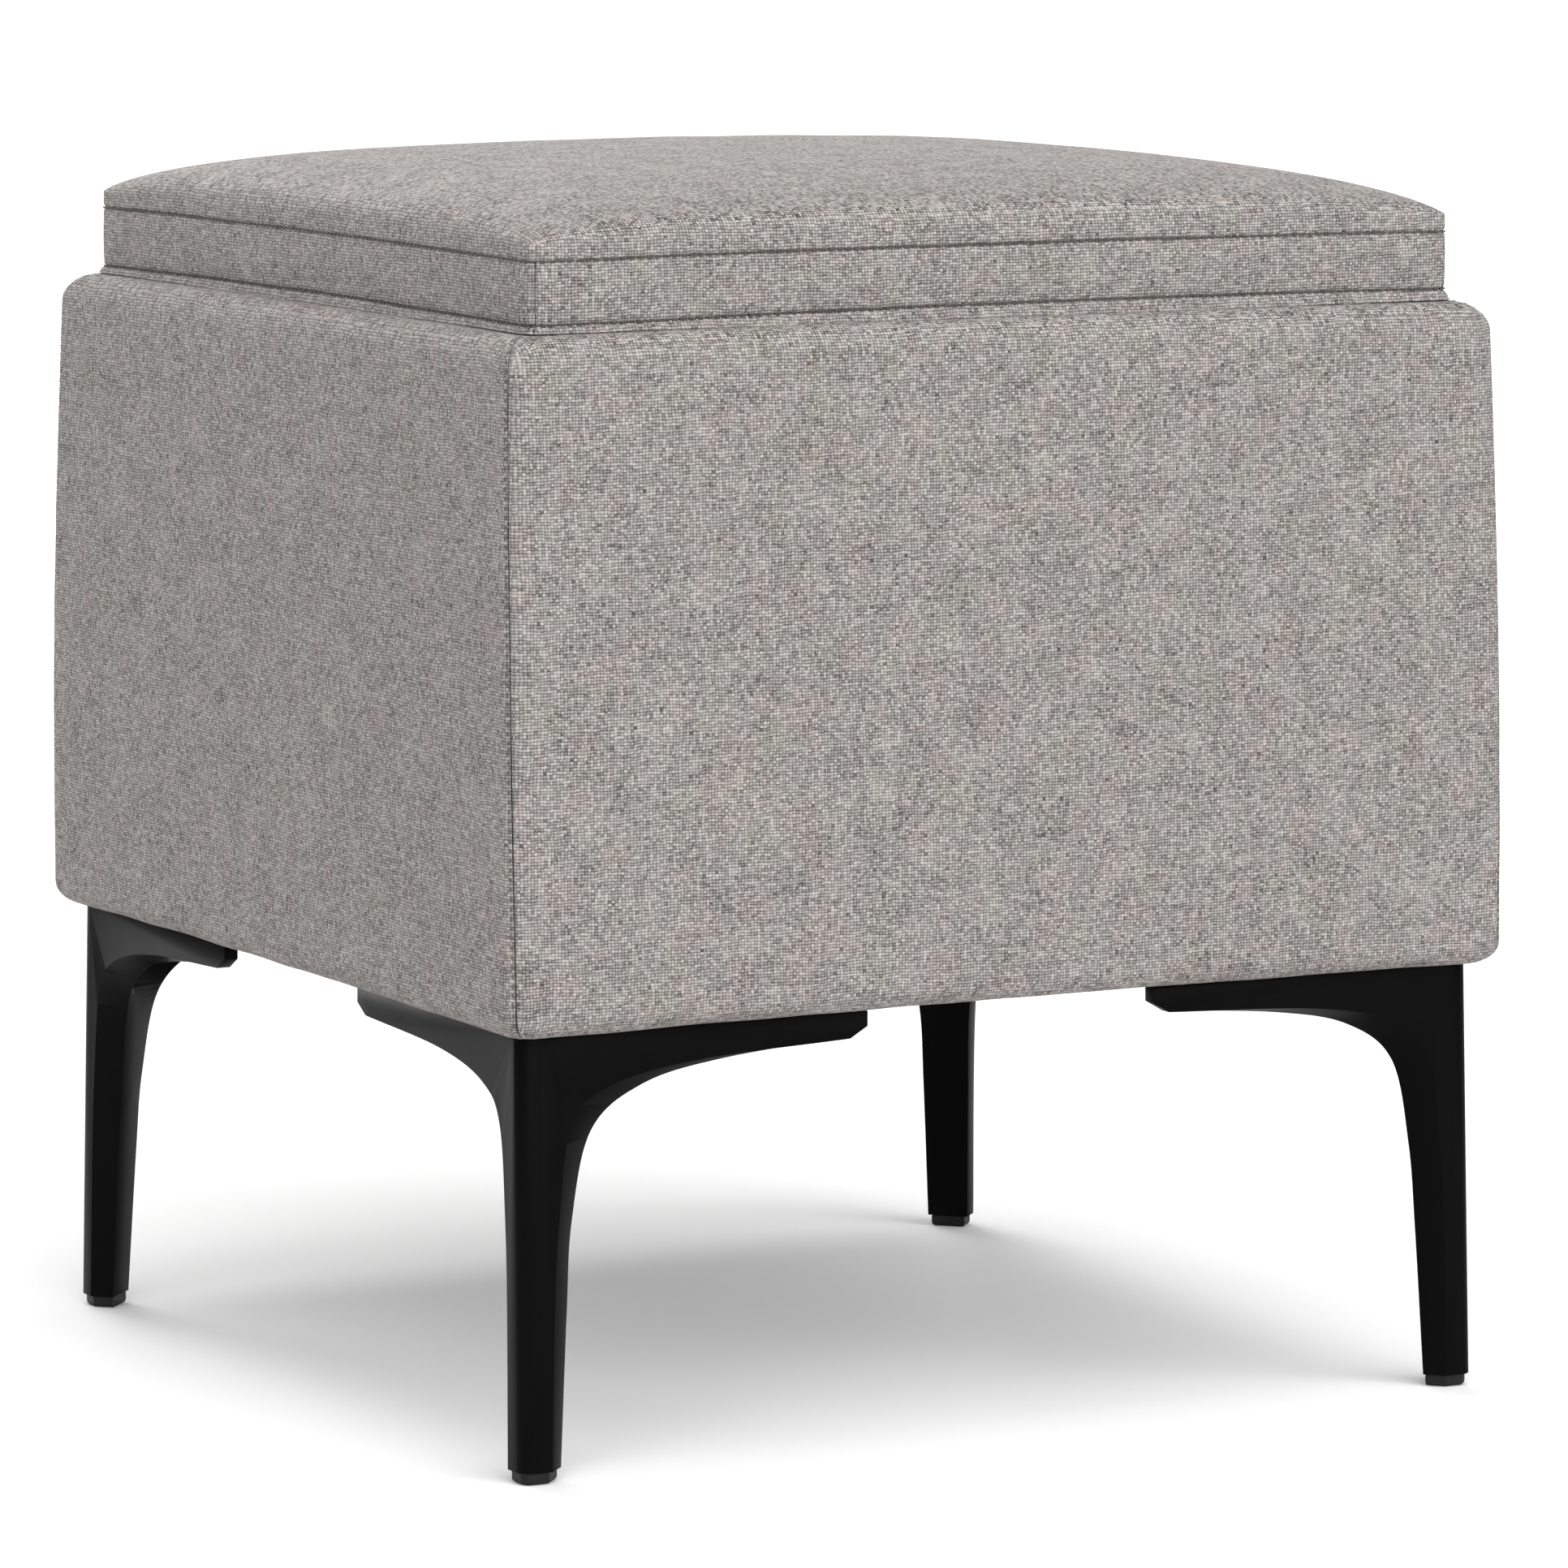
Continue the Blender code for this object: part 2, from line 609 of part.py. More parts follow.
def glide(place, to_corner):
    """Plastic glide under a foot, with a chamfered lower edge and a flat base."""
    bm = bmesh.new()
    levels = ((0.0026, 0.0), (0.0014, 0.0012), (0.0014, GLIDE_TOP))
    rings = [[bm.verts.new((x, y, z)) for x, y in foot_outline(inset)] for inset, z in levels]
    count = len(rings[0])
    for lower, upper in zip(rings, rings[1:]):
        for i in range(count):
            j = (i + 1) % count
            bm.faces.new((lower[i], lower[j], upper[j], upper[i]))
    bm.faces.new(rings[0])
    bm.faces.new(rings[-1])
    bm.transform(to_corner)
    add_object("glide_" + place, bm, "black_plastic")


# ---------------------------------------------------------------- lid
DOME_RINGS = (1.0, 0.992, 0.97, 0.93, 0.84, 0.66, 0.36, 0.10)
DOME_BETWEEN = 4


def crown_height(x, y, half):
    """Height of the crowned top over a square of this half extent."""
    slope_x = max(1 - abs(x / half) ** CROWN_POWER, 0.0) ** CROWN_FLAT
    slope_y = max(1 - abs(y / half) ** CROWN_POWER, 0.0) ** CROWN_FLAT
    return CROWN_EDGE + CROWN_RISE * slope_x * slope_y


def add_dome(bm, half, drop, rings=DOME_RINGS):
    """A crowned surface from its edge to its middle; returns the edge ring."""
    loops = []
    for share in rings:
        points = square_ring(half * share, LID_CORNER_R * share, CORNER_STEPS, DOME_BETWEEN)
        loops.append([bm.verts.new((x, y, crown_height(x, y, half) - drop)) for x, y in points])
    count = len(loops[0])
    for lower, upper in zip(loops, loops[1:]):
        for i in range(count):
            j = (i + 1) % count
            bm.faces.new((lower[i], lower[j], upper[j], upper[i]))
    bm.faces.new(loops[-1])
    return loops[0]


def add_wall(bm, ring, height):
    """Drop a ring straight down to a height."""
    lower = [bm.verts.new((v.co.x, v.co.y, height)) for v in ring]
    bridge(bm, ring, lower)
    return lower


def bridge(bm, first, second):
    for i in range(len(first)):
        j = (i + 1) % len(first)
        bm.faces.new((first[i], first[j], second[j], second[i]))


def dome_shell(name, finish, outer, inner, bottom, parent):
    """A crowned shell, open below; outer and inner are (half extent, drop)."""
    bm = bmesh.new()
    rings = [add_wall(bm, add_dome(bm, *surface), bottom) for surface in (outer, inner)]
    bridge(bm, *rings)
    shell = add_object(name, bm, finish, parent)
    smooth(shell, 50)
    return shell


def lid_cushion(axis):
    """Fabric, wadding and foam above the board."""
    dome_shell("lid_top_panel", "upholstery", (LID_HALF, 0.0), (LID_HALF - FABRIC, FABRIC),
               UPPER_SEAM + GAP / 2, axis)
    base = BOARD[1] + GAP
    dome_shell("lid_wadding", "wadding", (BOARD_HALF, FABRIC + GAP), (WADDING_IN, 0.008), base, axis)
    bm = bmesh.new()
    edge = add_dome(bm, WADDING_IN - GAP, 0.0084)
    bm.faces.new(add_wall(bm, edge, base))
    smooth(add_object("lid_foam", bm, "foam", axis), 50)


def lid_border(axis):
    """The strip between the two horizontal seams."""
    low, high = LOWER_SEAM + GAP / 2, UPPER_SEAM - GAP / 2
    line = []
    for i in range(5):
        share = i / 4
        line.append((LID_HALF + BORDER_BULGE * math.sin(math.pi * share), low + (high - low) * share))
    line += [(LID_HALF - FABRIC, high), (LID_HALF - FABRIC, low)]
    bm = bmesh.new()
    add_ring_sweep(bm, line, lambda half, height: LID_CORNER_R)
    smooth(add_object("lid_border", bm, "upholstery", axis), 50)


def lid_lower_band(axis):
    """The lip that meets the rim, turned in and stapled under the board."""
    seam = LOWER_SEAM - GAP / 2
    flange_low, flange_high, flange_end = 0.4095, BOARD[0] - GAP, 0.160
    lip_in = 0.1800
    flare = LID_HALF + 0.0010
    line = [(BOARD_HALF, seam), (LID_HALF, seam), (flare, 0.4070), (flare - 0.0003, 0.4059)]
    line += [(flare - 0.0022, LIP_BOTTOM), (0.1848, LIP_BOTTOM), (0.1815, 0.4062), (0.1803, 0.4078)]
    line += [(lip_in, flange_low), (flange_end, flange_low), (flange_end, flange_high)]
    line.append((BOARD_HALF, flange_high))
    bm = bmesh.new()
    add_ring_sweep(bm, line, lambda half, height: LID_CORNER_R if half > 0.1845 else 0.005)
    band = add_object("lid_lower_band", bm, "upholstery", axis)
    smooth(band, 50)
    notch = bmesh.new()
    reach = HINGE_LENGTH / 2 + 0.0025
    for sign in (-1, 1):
        add_box(notch, (sign * HINGE_X - reach, 0.170, LIP_BOTTOM - 0.002),
                (sign * HINGE_X + reach, 0.200, LID_LEAF_Z + LEAF + GAP))
    boolean(band, add_cutter("hinge_notches", notch))
    return band


def lid_board(axis):
    bm = bmesh.new()
    add_prism(bm, square_ring(BOARD_HALF, LID_CORNER_R + 0.001), *BOARD, along_z)
    return add_object("lid_board", bm, "plywood", axis)


def lid_lining(axis):
    bm = bmesh.new()
    half, (low, high) = LID_LINING_HALF, LID_LINING
    add_box(bm, (-half, -half, low), (half, half, high))
    return add_object("lid_lining", bm, "lining", axis)


# ---------------------------------------------------------------- lid hinges
def knuckle_outline(low, high):
    """A round knuckle with a tongue, between two heights, that runs forward into its leaf."""
    trim, reach = 0.0001, 0.0060
    low, high = low + trim, high - trim
    start = 180 - math.degrees(math.asin((high - AXIS_Z) / KNUCKLE_R))
    end = -180 - math.degrees(math.asin(max((low - AXIS_Z) / KNUCKLE_R, -1.0)))
    outline = arc((AXIS_Y, AXIS_Z), KNUCKLE_R, start, end, 10)
    if low < AXIS_Z - KNUCKLE_R + trim:
        outline.append((AXIS_Y - 0.0005, low))
    return outline + [(AXIS_Y - reach, low), (AXIS_Y - reach, high)]


def knuckles(name, centre_x, which, leaf_low):
    """Some of a hinge's knuckles, to join to a leaf."""
    pitch = HINGE_LENGTH / KNUCKLES
    outline = knuckle_outline(leaf_low, leaf_low + LEAF)
    bm = bmesh.new()
    for k in which:
        start = centre_x - HINGE_LENGTH / 2 + k * pitch + GAP / 2
        add_prism(bm, outline, start, start + pitch - GAP, along_x)
    return add_cutter(name, bm)


def lying_along_x(start):
    """Turns a lathed piece's axis onto the lid hinge's axis."""
    return Matrix.Translation((start, AXIS_Y, AXIS_Z)) @ Matrix.Rotation(math.radians(90), 4, "Y")


def pin_hole(name, centre_x):
    reach = HINGE_LENGTH / 2 + 0.002
    matrix = lying_along_x(centre_x - reach)
    profile = [(0.0, 0.0), (PIN_HOLE_R, 0.0), (PIN_HOLE_R, 2 * reach), (0.0, 2 * reach)]
    bm = bmesh.new()
    add_lathe(bm, profile, matrix, 12)
    return add_cutter(name, bm)


def hinges(axis):
    """Two cranked butt hinges: one leaf over the rim and down inside, one under the lid."""
    leaves = {"body": [], "lid": []}
    for side, sign in (("left", -1), ("right", 1)):
        x = sign * HINGE_X
        x0, x1 = x - HINGE_LENGTH / 2 + GAP, x + HINGE_LENGTH / 2 - GAP
        face = FLAP_IN - GAP
        leaf_top, leaf_end = BODY_LEAF_Z + LEAF, FLAP_END + 0.001
        cranked = [(LEAF_BACK, BODY_LEAF_Z), (LEAF_BACK, leaf_top), (face - LEAF, leaf_top)]
        cranked += [(face - LEAF, leaf_end), (face, leaf_end), (face, BODY_LEAF_Z)]
        bm = bmesh.new()
        add_prism(bm, cranked, x0, x1, along_x)
        body_leaf = add_object("hinge_body_leaf_" + side, bm, "zinc_steel")
        bm = bmesh.new()
        add_box(bm, (x0, LID_LEAF_FRONT, LID_LEAF_Z), (x1, LEAF_BACK - GAP, LID_LEAF_Z + LEAF))
        lid_leaf = add_object("hinge_lid_leaf_" + side, bm, "zinc_steel", axis)
        hole = pin_hole("pin_hole_" + side, x)
        boolean(body_leaf, knuckles("body_knuckles_" + side, x, (0, 2, 4), BODY_LEAF_Z), "UNION")
        boolean(body_leaf, hole)
        boolean(lid_leaf, knuckles("lid_knuckles_" + side, x, (1, 3), LID_LEAF_Z), "UNION")
        boolean(lid_leaf, hole)
        leaves["body"].append(body_leaf)
        leaves["lid"].append(lid_leaf)
        hinge_pin(side, x)
    return leaves


def hinge_pin(side, x):
    """Pin held by the body leaf, with a flat head at both ends."""
    reach = HINGE_LENGTH / 2
    head = 0.0008
    profile = [(0.0, -head), (0.0021, -head), (0.0021, 0.0), (PIN_R, 0.0), (PIN_R, 2 * reach),
               (0.0021, 2 * reach), (0.0021, 2 * reach + head), (0.0, 2 * reach + head)]
    matrix = lying_along_x(x - reach)
    bm = bmesh.new()
    add_lathe(bm, profile, matrix, 12)
    smooth(add_object("hinge_pin_" + side, bm, "zinc_steel"))


def pairs_at(centres, offset):
    return [centre + sign * offset for centre in centres for sign in (-1, 1)]


def hinge_screws(axis, leaves, body_pieces, lid_pieces):
    """Two screws through each leaf, and the holes that they pass through."""
    size = (0.0032, 0.0012, 0.0017, 0.0105)
    across = pairs_at((-HINGE_X, HINGE_X), HINGE_SCREW_X)
    head_y = FLAP_IN - GAP - LEAF - GAP
    back = [Matrix.Translation((x, head_y, HINGE_BODY_SCREW_Z)) @ Matrix.Rotation(math.radians(-90), 4, "X")
            for x in across]
    screws("hinge_body_screw", size, back)
    drill(leaves["body"] + body_pieces, screw_holes("hinge_body_screw_holes", size, back))
    up = [Matrix.Translation((x, HINGE_LID_SCREW_Y, LID_LEAF_Z - GAP)) for x in across]
    screws("hinge_lid_screw", size, up, axis)
    drill(leaves["lid"] + lid_pieces, screw_holes("hinge_lid_screw_holes", size, up))


# ---------------------------------------------------------------- lid stays
def mirrored(span, sign):
    return sorted((sign * span[0], sign * span[1]))


def stay_bar(name, start, end, span, parent, sign):
    """A flat bar with round ends, and a rivet hole at each end."""
    angle = math.degrees(math.atan2(end.y - start.y, end.x - start.x))
    outline = arc(end, STAY_HALF_WIDTH, angle - 90, angle + 90, 6)
    outline += arc(start, STAY_HALF_WIDTH, angle + 90, angle + 270, 6)
    bm = bmesh.new()
    add_prism(bm, outline, *mirrored(span, sign), along_x)
    bar = add_object(name, bm, "zinc_steel", parent)
    boolean(bar, rivet_holes(name + "_holes", (start, end), span, sign))
    return bar


def rivet_holes(name, places, span, sign):
    bm = bmesh.new()
    low, high = mirrored(span, sign)
    low, high = low - 0.002, high + 0.002
    for place in places:
        matrix = Matrix.Translation((low, *place)) @ Matrix.Rotation(math.radians(90), 4, "Y")
        profile = [(0.0, 0.0), (RIVET_HOLE_R, 0.0), (RIVET_HOLE_R, high - low), (0.0, high - low)]
        add_lathe(bm, profile, matrix, 12)
    return add_cutter(name, bm)


def rivet(name, place, inner, outer, sign, outer_head, parent=None):
    """A rivet along X; inner and outer are the distances of the plates' outer faces."""
    head_r, head_h = 0.0042, 0.0010
    start, end = inner - GAP, outer
    profile = [(0.0, start - head_h), (head_r, start - head_h), (head_r, start), (RIVET_R - 0.0001, start)]
    if outer_head:
        end += GAP
        profile += [(RIVET_R - 0.0001, end), (head_r, end), (head_r, end + head_h), (0.0, end + head_h)]
    else:
        profile += [(RIVET_R - 0.0001, end), (0.0, end)]
    matrix = Matrix.Translation((0, *place)) @ Matrix.Rotation(math.radians(90 * sign), 4, "Y")
    bm = bmesh.new()
    add_lathe(bm, profile, matrix, 12)
    smooth(add_object(name, bm, "zinc_steel", parent))


def wall_bracket(side, sign):
    """Plate on the side wall, with a tab that stops the arm when the lid is fully open."""
    pivot = WALL_PIVOT
    low, high = Vector((pivot.x - 0.008, 0.318)), Vector((pivot.x + 0.019, 0.358))
    cut = 0.004
    outline = [(low.x + cut, low.y), (high.x - cut, low.y), (high.x, low.y + cut), (high.x, high.y - cut),
               (high.x - cut, high.y), (low.x + cut, high.y), (low.x, high.y - cut), (low.x, low.y + cut)]
    bm = bmesh.new()
    add_prism(bm, outline, *mirrored(BRACKET_X, sign), along_x)
    bracket = add_object("stay_wall_bracket_" + side, bm, "zinc_steel")
    tab = bmesh.new()
    x0, x1 = mirrored((ARM_X[0], BRACKET_X[0] + 0.0005), sign)
    add_box(tab, (x0, pivot.x + 0.0062, 0.3500), (x1, pivot.x + 0.0085, 0.3560))
    boolean(bracket, add_cutter("stop_tab_" + side, tab), "UNION")
    boolean(bracket, rivet_holes("wall_rivet_hole_" + side, (pivot,), BRACKET_X, sign))
    return bracket


def lid_bracket(side, sign, axis):
    """Angle bracket under the lid: a flange for two screws and a tab for the link's pivot."""
    pivot = LID_PIVOT
    top = LID_LEAF_Z + LEAF
    flange = bmesh.new()
    x0, x1 = mirrored((0.1560, LID_TAB_X[1] - 0.0004), sign)
    add_box(flange, (x0, pivot.x - 0.0140, LID_LEAF_Z), (x1, pivot.x + 0.0140, top))
    outline = [(pivot.x + STAY_HALF_WIDTH, top - 0.0003), (pivot.x - STAY_HALF_WIDTH, top - 0.0003)]
    outline += arc(pivot, STAY_HALF_WIDTH, 180, 360, 6)
    tab = bmesh.new()
    add_prism(tab, outline, *mirrored(LID_TAB_X, sign), along_x)
    bracket = add_object("stay_lid_bracket_" + side, tab, "zinc_steel", axis)
    boolean(bracket, add_cutter("lid_flange_" + side, flange), "UNION")
    boolean(bracket, rivet_holes("lid_rivet_hole_" + side, (pivot,), LID_TAB_X, sign))
    return bracket


def stays(axis):
    """The two lid stays, one on each side wall near the back."""
    brackets = {"wall": [], "lid": []}
    for side, sign in (("left", -1), ("right", 1)):
        arm_axis = axis_empty("stay_arm_axis_" + side, (0, *WALL_PIVOT))
        link_axis = axis_empty("stay_link_axis_" + side, (0, *ELBOW))
        stay_bar("stay_arm_" + side, WALL_PIVOT, ELBOW, ARM_X, arm_axis, sign)
        stay_bar("stay_link_" + side, ELBOW, LID_PIVOT, LINK_X, link_axis, sign)
        rivet("stay_elbow_rivet_" + side, ELBOW, LINK_X[0], ARM_X[1], sign, True, arm_axis)
        rivet("stay_wall_rivet_" + side, WALL_PIVOT, ARM_X[0], BRACKET_X[1], sign, False)
        rivet("stay_lid_rivet_" + side, LID_PIVOT, LID_TAB_X[0], LINK_X[1], sign, True, axis)
        brackets["wall"].append(wall_bracket(side, sign))
        brackets["lid"].append(lid_bracket(side, sign, axis))
    return brackets


def stay_screw_holes(brackets, body_pieces, lid_pieces):
    """Two screw holes through each bracket into the side panel or the lid board."""
    size = (0.0032, 0.0010, 0.0017, 0.0110)
    head_x = BRACKET_X[0] - GAP
    sideways = []
    for sign in (-1, 1):
        outward = Matrix.Rotation(math.radians(90 * sign), 4, "Y")
        for dy, dz in ((0.0130, -0.0020), (0.0040, -0.0180)):
            place = Vector((sign * head_x, WALL_PIVOT.x + dy, WALL_PIVOT.y + dz))
            sideways.append(Matrix.Translation(place) @ outward)
    drill(brackets["wall"] + body_pieces, screw_holes("stay_wall_screw_holes", size, sideways))
    up = [Matrix.Translation((sign * 0.1625, y, LID_LEAF_Z - GAP))
          for sign in (-1, 1) for y in pairs_at((LID_PIVOT.x,), 0.0085)]
    drill(brackets["lid"] + lid_pieces, screw_holes("stay_lid_screw_holes", size, up))


def build():
    for obj in list(bpy.data.objects):
        bpy.data.objects.remove(obj, do_unlink=True)
    cover = body_cover()
    rim_foam()
    for quarter, side in enumerate(("right", "back", "left", "front")):
        side_foam(side, quarter)
    panels = wall_panels()
    base = bottom_panel()
    floor_cleats()
    floor_panel()
    lining = wall_lining()
    sheet = dust_cover()
    legs(sheet, base)
    axis = axis_empty("lid_axis", (0, AXIS_Y, AXIS_Z))
    board = lid_board(axis)
    lid_cushion(axis)
    lid_border(axis)
    band = lid_lower_band(axis)
    underside = lid_lining(axis)
    lid_pieces = [board, band, underside]
    leaves = hinges(axis)
    hinge_screws(axis, leaves, [cover, panels["back"]], lid_pieces)
    brackets = stays(axis)
    stay_screw_holes(brackets, [lining, panels["left"], panels["right"]], lid_pieces)


build()
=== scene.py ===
"""Looks of the storage ottoman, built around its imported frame.

Metres, +Z up, the front faces -Y. The frame's boxes give the sizes that the pieces share with it.
"""
import json
import math
import random

import bmesh
import bpy
from mathutils import Matrix, Vector, noise


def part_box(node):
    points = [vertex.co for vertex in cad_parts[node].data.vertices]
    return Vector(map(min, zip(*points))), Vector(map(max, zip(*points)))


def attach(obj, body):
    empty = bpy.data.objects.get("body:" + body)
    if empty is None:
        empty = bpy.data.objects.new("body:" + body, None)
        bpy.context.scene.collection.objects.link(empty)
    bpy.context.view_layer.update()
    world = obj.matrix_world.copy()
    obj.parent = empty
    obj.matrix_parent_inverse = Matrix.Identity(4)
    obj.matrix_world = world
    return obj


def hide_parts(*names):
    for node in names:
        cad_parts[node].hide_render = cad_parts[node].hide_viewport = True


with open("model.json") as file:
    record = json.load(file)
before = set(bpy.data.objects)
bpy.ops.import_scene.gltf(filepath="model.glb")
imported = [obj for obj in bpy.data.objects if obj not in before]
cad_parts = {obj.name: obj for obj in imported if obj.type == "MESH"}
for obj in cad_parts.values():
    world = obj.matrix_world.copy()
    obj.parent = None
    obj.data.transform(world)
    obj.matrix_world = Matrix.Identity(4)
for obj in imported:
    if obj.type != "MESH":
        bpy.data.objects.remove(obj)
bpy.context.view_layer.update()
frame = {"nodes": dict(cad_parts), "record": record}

GAP = 0.0003
FABRIC = 0.0012

# ---------------------------------------------------------------- sizes read from the frame
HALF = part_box("body_cover")[1].x
BODY_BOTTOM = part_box("body_cover")[0].z
RIM_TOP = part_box("body_cover")[1].z
LID_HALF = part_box("lid_top_panel")[1].x
CROWN_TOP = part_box("lid_top_panel")[1].z
UPPER_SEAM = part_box("lid_top_panel")[0].z - GAP / 2
LOWER_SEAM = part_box("lid_border")[0].z - GAP / 2
LIP_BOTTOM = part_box("lid_lower_band")[0].z
BOARD_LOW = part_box("lid_board")[0].z
BOARD_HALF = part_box("lid_board")[1].x
LEG_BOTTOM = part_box("leg_front_left")[0].z
LEG_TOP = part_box("leg_front_left")[1].z
LEG_CORNER = -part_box("leg_front_left")[0].x

# Box cover
BOTTOM_EDGE_R = 0.008
SHOULDER_R = 0.011
CORNER_R = 0.009
CORNER_FULL = 0.1975            # half extent from which the vertical corners have their full radius
SIDE_LEAN_START = 0.170
SIDE_LEAN = 0.077
FLAP_IN = 0.1799
FLAP_END = 0.3800
TURN_UNDER_END = 0.1850
SHOULDER_DROP = 0.0008          # how much lower the shoulder is at the corners

# Vertical seams: columns of the mesh by their distance from the seam, and how far the cloth goes in
SEAM_OFFSETS = (-0.0024, -0.0014, -0.0008, -0.00045, -0.00022, 0.0, 0.00022, 0.00045, 0.0008, 0.0014, 0.0024)
COLUMNS_BEFORE = 5
COLUMNS_AFTER = 6
CORNER_COLUMNS = COLUMNS_BEFORE + len(SEAM_OFFSETS) + COLUMNS_AFTER
SIDE_COLUMNS = 62
SEAM_HALF_WIDTH = 0.00042
SEAM_DEPTH = 0.0009
SEAM_PUFF = 0.00028

# Lid
LID_CORNER_R = 0.007
LID_SEAM_ANGLE = 52             # where its vertical seams lie on the corners, from the side face
BORDER_BULGE = 0.0006
LIP_FLARE = 0.0012
CROWN_EDGE = 0.4345
CROWN_RISE = CROWN_TOP - CROWN_EDGE
CROWN_POWER = 2.72
CROWN_FLAT = 0.30
GROOVE = 0.0007                 # how deep the cloth turns in at a horizontal seam
STITCH_PITCH = 0.0034
STITCH_PROUD = 0.0001

# Lid hinges
HINGE_X = 0.105
HINGE_LENGTH = 0.050
HINGE_NOTCH = HINGE_LENGTH / 2 + 0.0025

# Legs
LEG_LEAN = 0.0018
LEG_CORNER_R = (0.0055, 0.0080)
WING = 0.0055
WING_TIP = (0.137, 0.154)
PLATE_Z = (LEG_TOP - 0.0050, LEG_TOP - 0.0008)
PLATE_REACH = 0.095
BOLTS = ((0.024, 0.024), (0.060, 0.025), (0.025, 0.060))
BOLT_HOLE_R = 0.0034
OUTER_ARCH = ((0.0119, LEG_BOTTOM), (0.0126, 0.060), (0.0142, 0.092), (0.0188, 0.1265),
              (0.0328, 0.1397), (0.0675, 0.1468), (0.1300, 0.1499))
INNER_ARCH = ((0.0184, 0.0065, LEG_BOTTOM), (0.0210, 0.0074, 0.060), (0.0232, 0.0080, 0.092),
              (0.0305, 0.0075, 0.1238), (0.0500, 0.0066, 0.1387), (0.0800, 0.0060, 0.1454),
              (0.1300, WING, 0.1499))
INNER_SPINE = ((0.01245, 0.01245, LEG_BOTTOM), (0.01420, 0.01420, 0.060), (0.01560, 0.01560, 0.092),
               (0.0164, 0.0164, 0.1238), (0.0085, 0.0085, 0.1428), (0.0300, WING, LEG_TOP),
               (0.1300, WING, LEG_TOP))
HOLLOW_POINTS = 5               # how many points of the spine lie in the hollow behind the post
ARCH_STEPS = 10
CORNER_STEPS = 10
LEG_PLACES = (("front_left", -1, -1), ("front_right", 1, -1), ("back_right", 1, 1), ("back_left", -1, 1))

# Stay screws
SCREW_LENGTH = 0.011
WALL_SCREWS = ((0.1690, 0.3402), (0.1600, 0.3242))
WALL_SCREW_X = 0.1781
LID_SCREWS = (0.0935, 0.1105)
LID_SCREW_X = 0.1625
LID_SCREW_Z = 0.4067

# Cloth: the thread pitch across and along, and how far the threads wander in three sizes of wave
WEAVE = (0.00128, 0.001085)
WANDER = ((14.0, 0.0022), (95.0, 0.0012), (330.0, 0.00062))


# ---------------------------------------------------------------- node materials
class Nodes:
    """A Principled material and short names for the nodes that feed it."""

    def __init__(self, name, roughness, metallic=0.0, specular=0.5):
        self.material = bpy.data.materials.new(name)
        self.material.use_nodes = True
        self.tree = self.material.node_tree
        self.shader = self.tree.nodes["Principled BSDF"]
        self.set("Roughness", roughness)
        self.set("Metallic", metallic)
        self.set("Specular IOR Level", specular)
        coordinates = self.tree.nodes.new("ShaderNodeTexCoord")
        self.position = coordinates.outputs["Object"]
        self.normal = coordinates.outputs["Normal"]

    def feed(self, socket, value):
        if isinstance(value, bpy.types.NodeSocket):
            self.tree.links.new(value, socket)
        else:
            socket.default_value = value

    def set(self, name, value):
        self.feed(self.shader.inputs[name], value)

    def math(self, operation, *values):
        node = self.tree.nodes.new("ShaderNodeMath")
        node.operation = operation
        for socket, value in zip(node.inputs, values):
            self.feed(socket, value)
        return node.outputs[0]

    def sum(self, *terms):
        """Adds up (value, factor) pairs."""
        total = 0.0
        for value, factor in terms:
            total = self.math("MULTIPLY_ADD", value, factor, total)
        return total

    def lerp(self, share, first, second):
        node = self.tree.nodes.new("ShaderNodeMix")
        for index, value in zip((0, 2, 3), (share, first, second)):
            self.feed(node.inputs[index], value)
        return node.outputs[0]

    def colour(self, share, first, second, blend="MIX"):
        node = self.tree.nodes.new("ShaderNodeMix")
        node.data_type = "RGBA"
        node.blend_type = blend
        node.clamp_factor = True
        for index, value in zip((0, 6, 7), (share, first, second)):
            self.feed(node.inputs[index], value)
        return node.outputs[2]

    def split(self, vector):
        node = self.tree.nodes.new("ShaderNodeSeparateXYZ")
        self.feed(node.inputs[0], vector)
        return node.outputs

    def join(self, x, y, z=0.0):
        node = self.tree.nodes.new("ShaderNodeCombineXYZ")
        for socket, value in zip(node.inputs, (x, y, z)):
            self.feed(socket, value)
        return node.outputs[0]

    def stretch(self, vector, scale):
        node = self.tree.nodes.new("ShaderNodeVectorMath")
        node.operation = "MULTIPLY"
        self.feed(node.inputs[0], vector)
        self.feed(node.inputs[1], scale)
        return node.outputs[0]

    def noise(self, vector, scale, detail=2.0, output="Fac"):
        node = self.tree.nodes.new("ShaderNodeTexNoise")
        self.feed(node.inputs["Vector"], vector)
        self.feed(node.inputs["Scale"], scale)
        self.feed(node.inputs["Detail"], detail)
        return node.outputs[output]

    def cells(self, vector, scale, output="Distance"):
        node = self.tree.nodes.new("ShaderNodeTexVoronoi")
        self.feed(node.inputs["Vector"], vector)
        self.feed(node.inputs["Scale"], scale)
        return node.outputs[output]

    def random(self, vector):
        node = self.tree.nodes.new("ShaderNodeTexWhiteNoise")
        self.feed(node.inputs["Vector"], vector)
        return node.outputs["Value"]

    def step(self, value, low, high):
        """0 below low, 1 above high, smooth between."""
        node = self.tree.nodes.new("ShaderNodeMapRange")
        node.interpolation_type = "SMOOTHSTEP"
        for socket, number in zip(node.inputs, (value, low, high, 0.0, 1.0)):
            self.feed(socket, number)
        return node.outputs[0]

    def bump(self, height, distance, strength):
        node = self.tree.nodes.new("ShaderNodeBump")
        self.feed(node.inputs["Height"], height)
        self.feed(node.inputs["Distance"], distance)
        self.feed(node.inputs["Strength"], strength)
        self.set("Normal", node.outputs[0])


def rgb(*values):
    return (*values, 1.0)


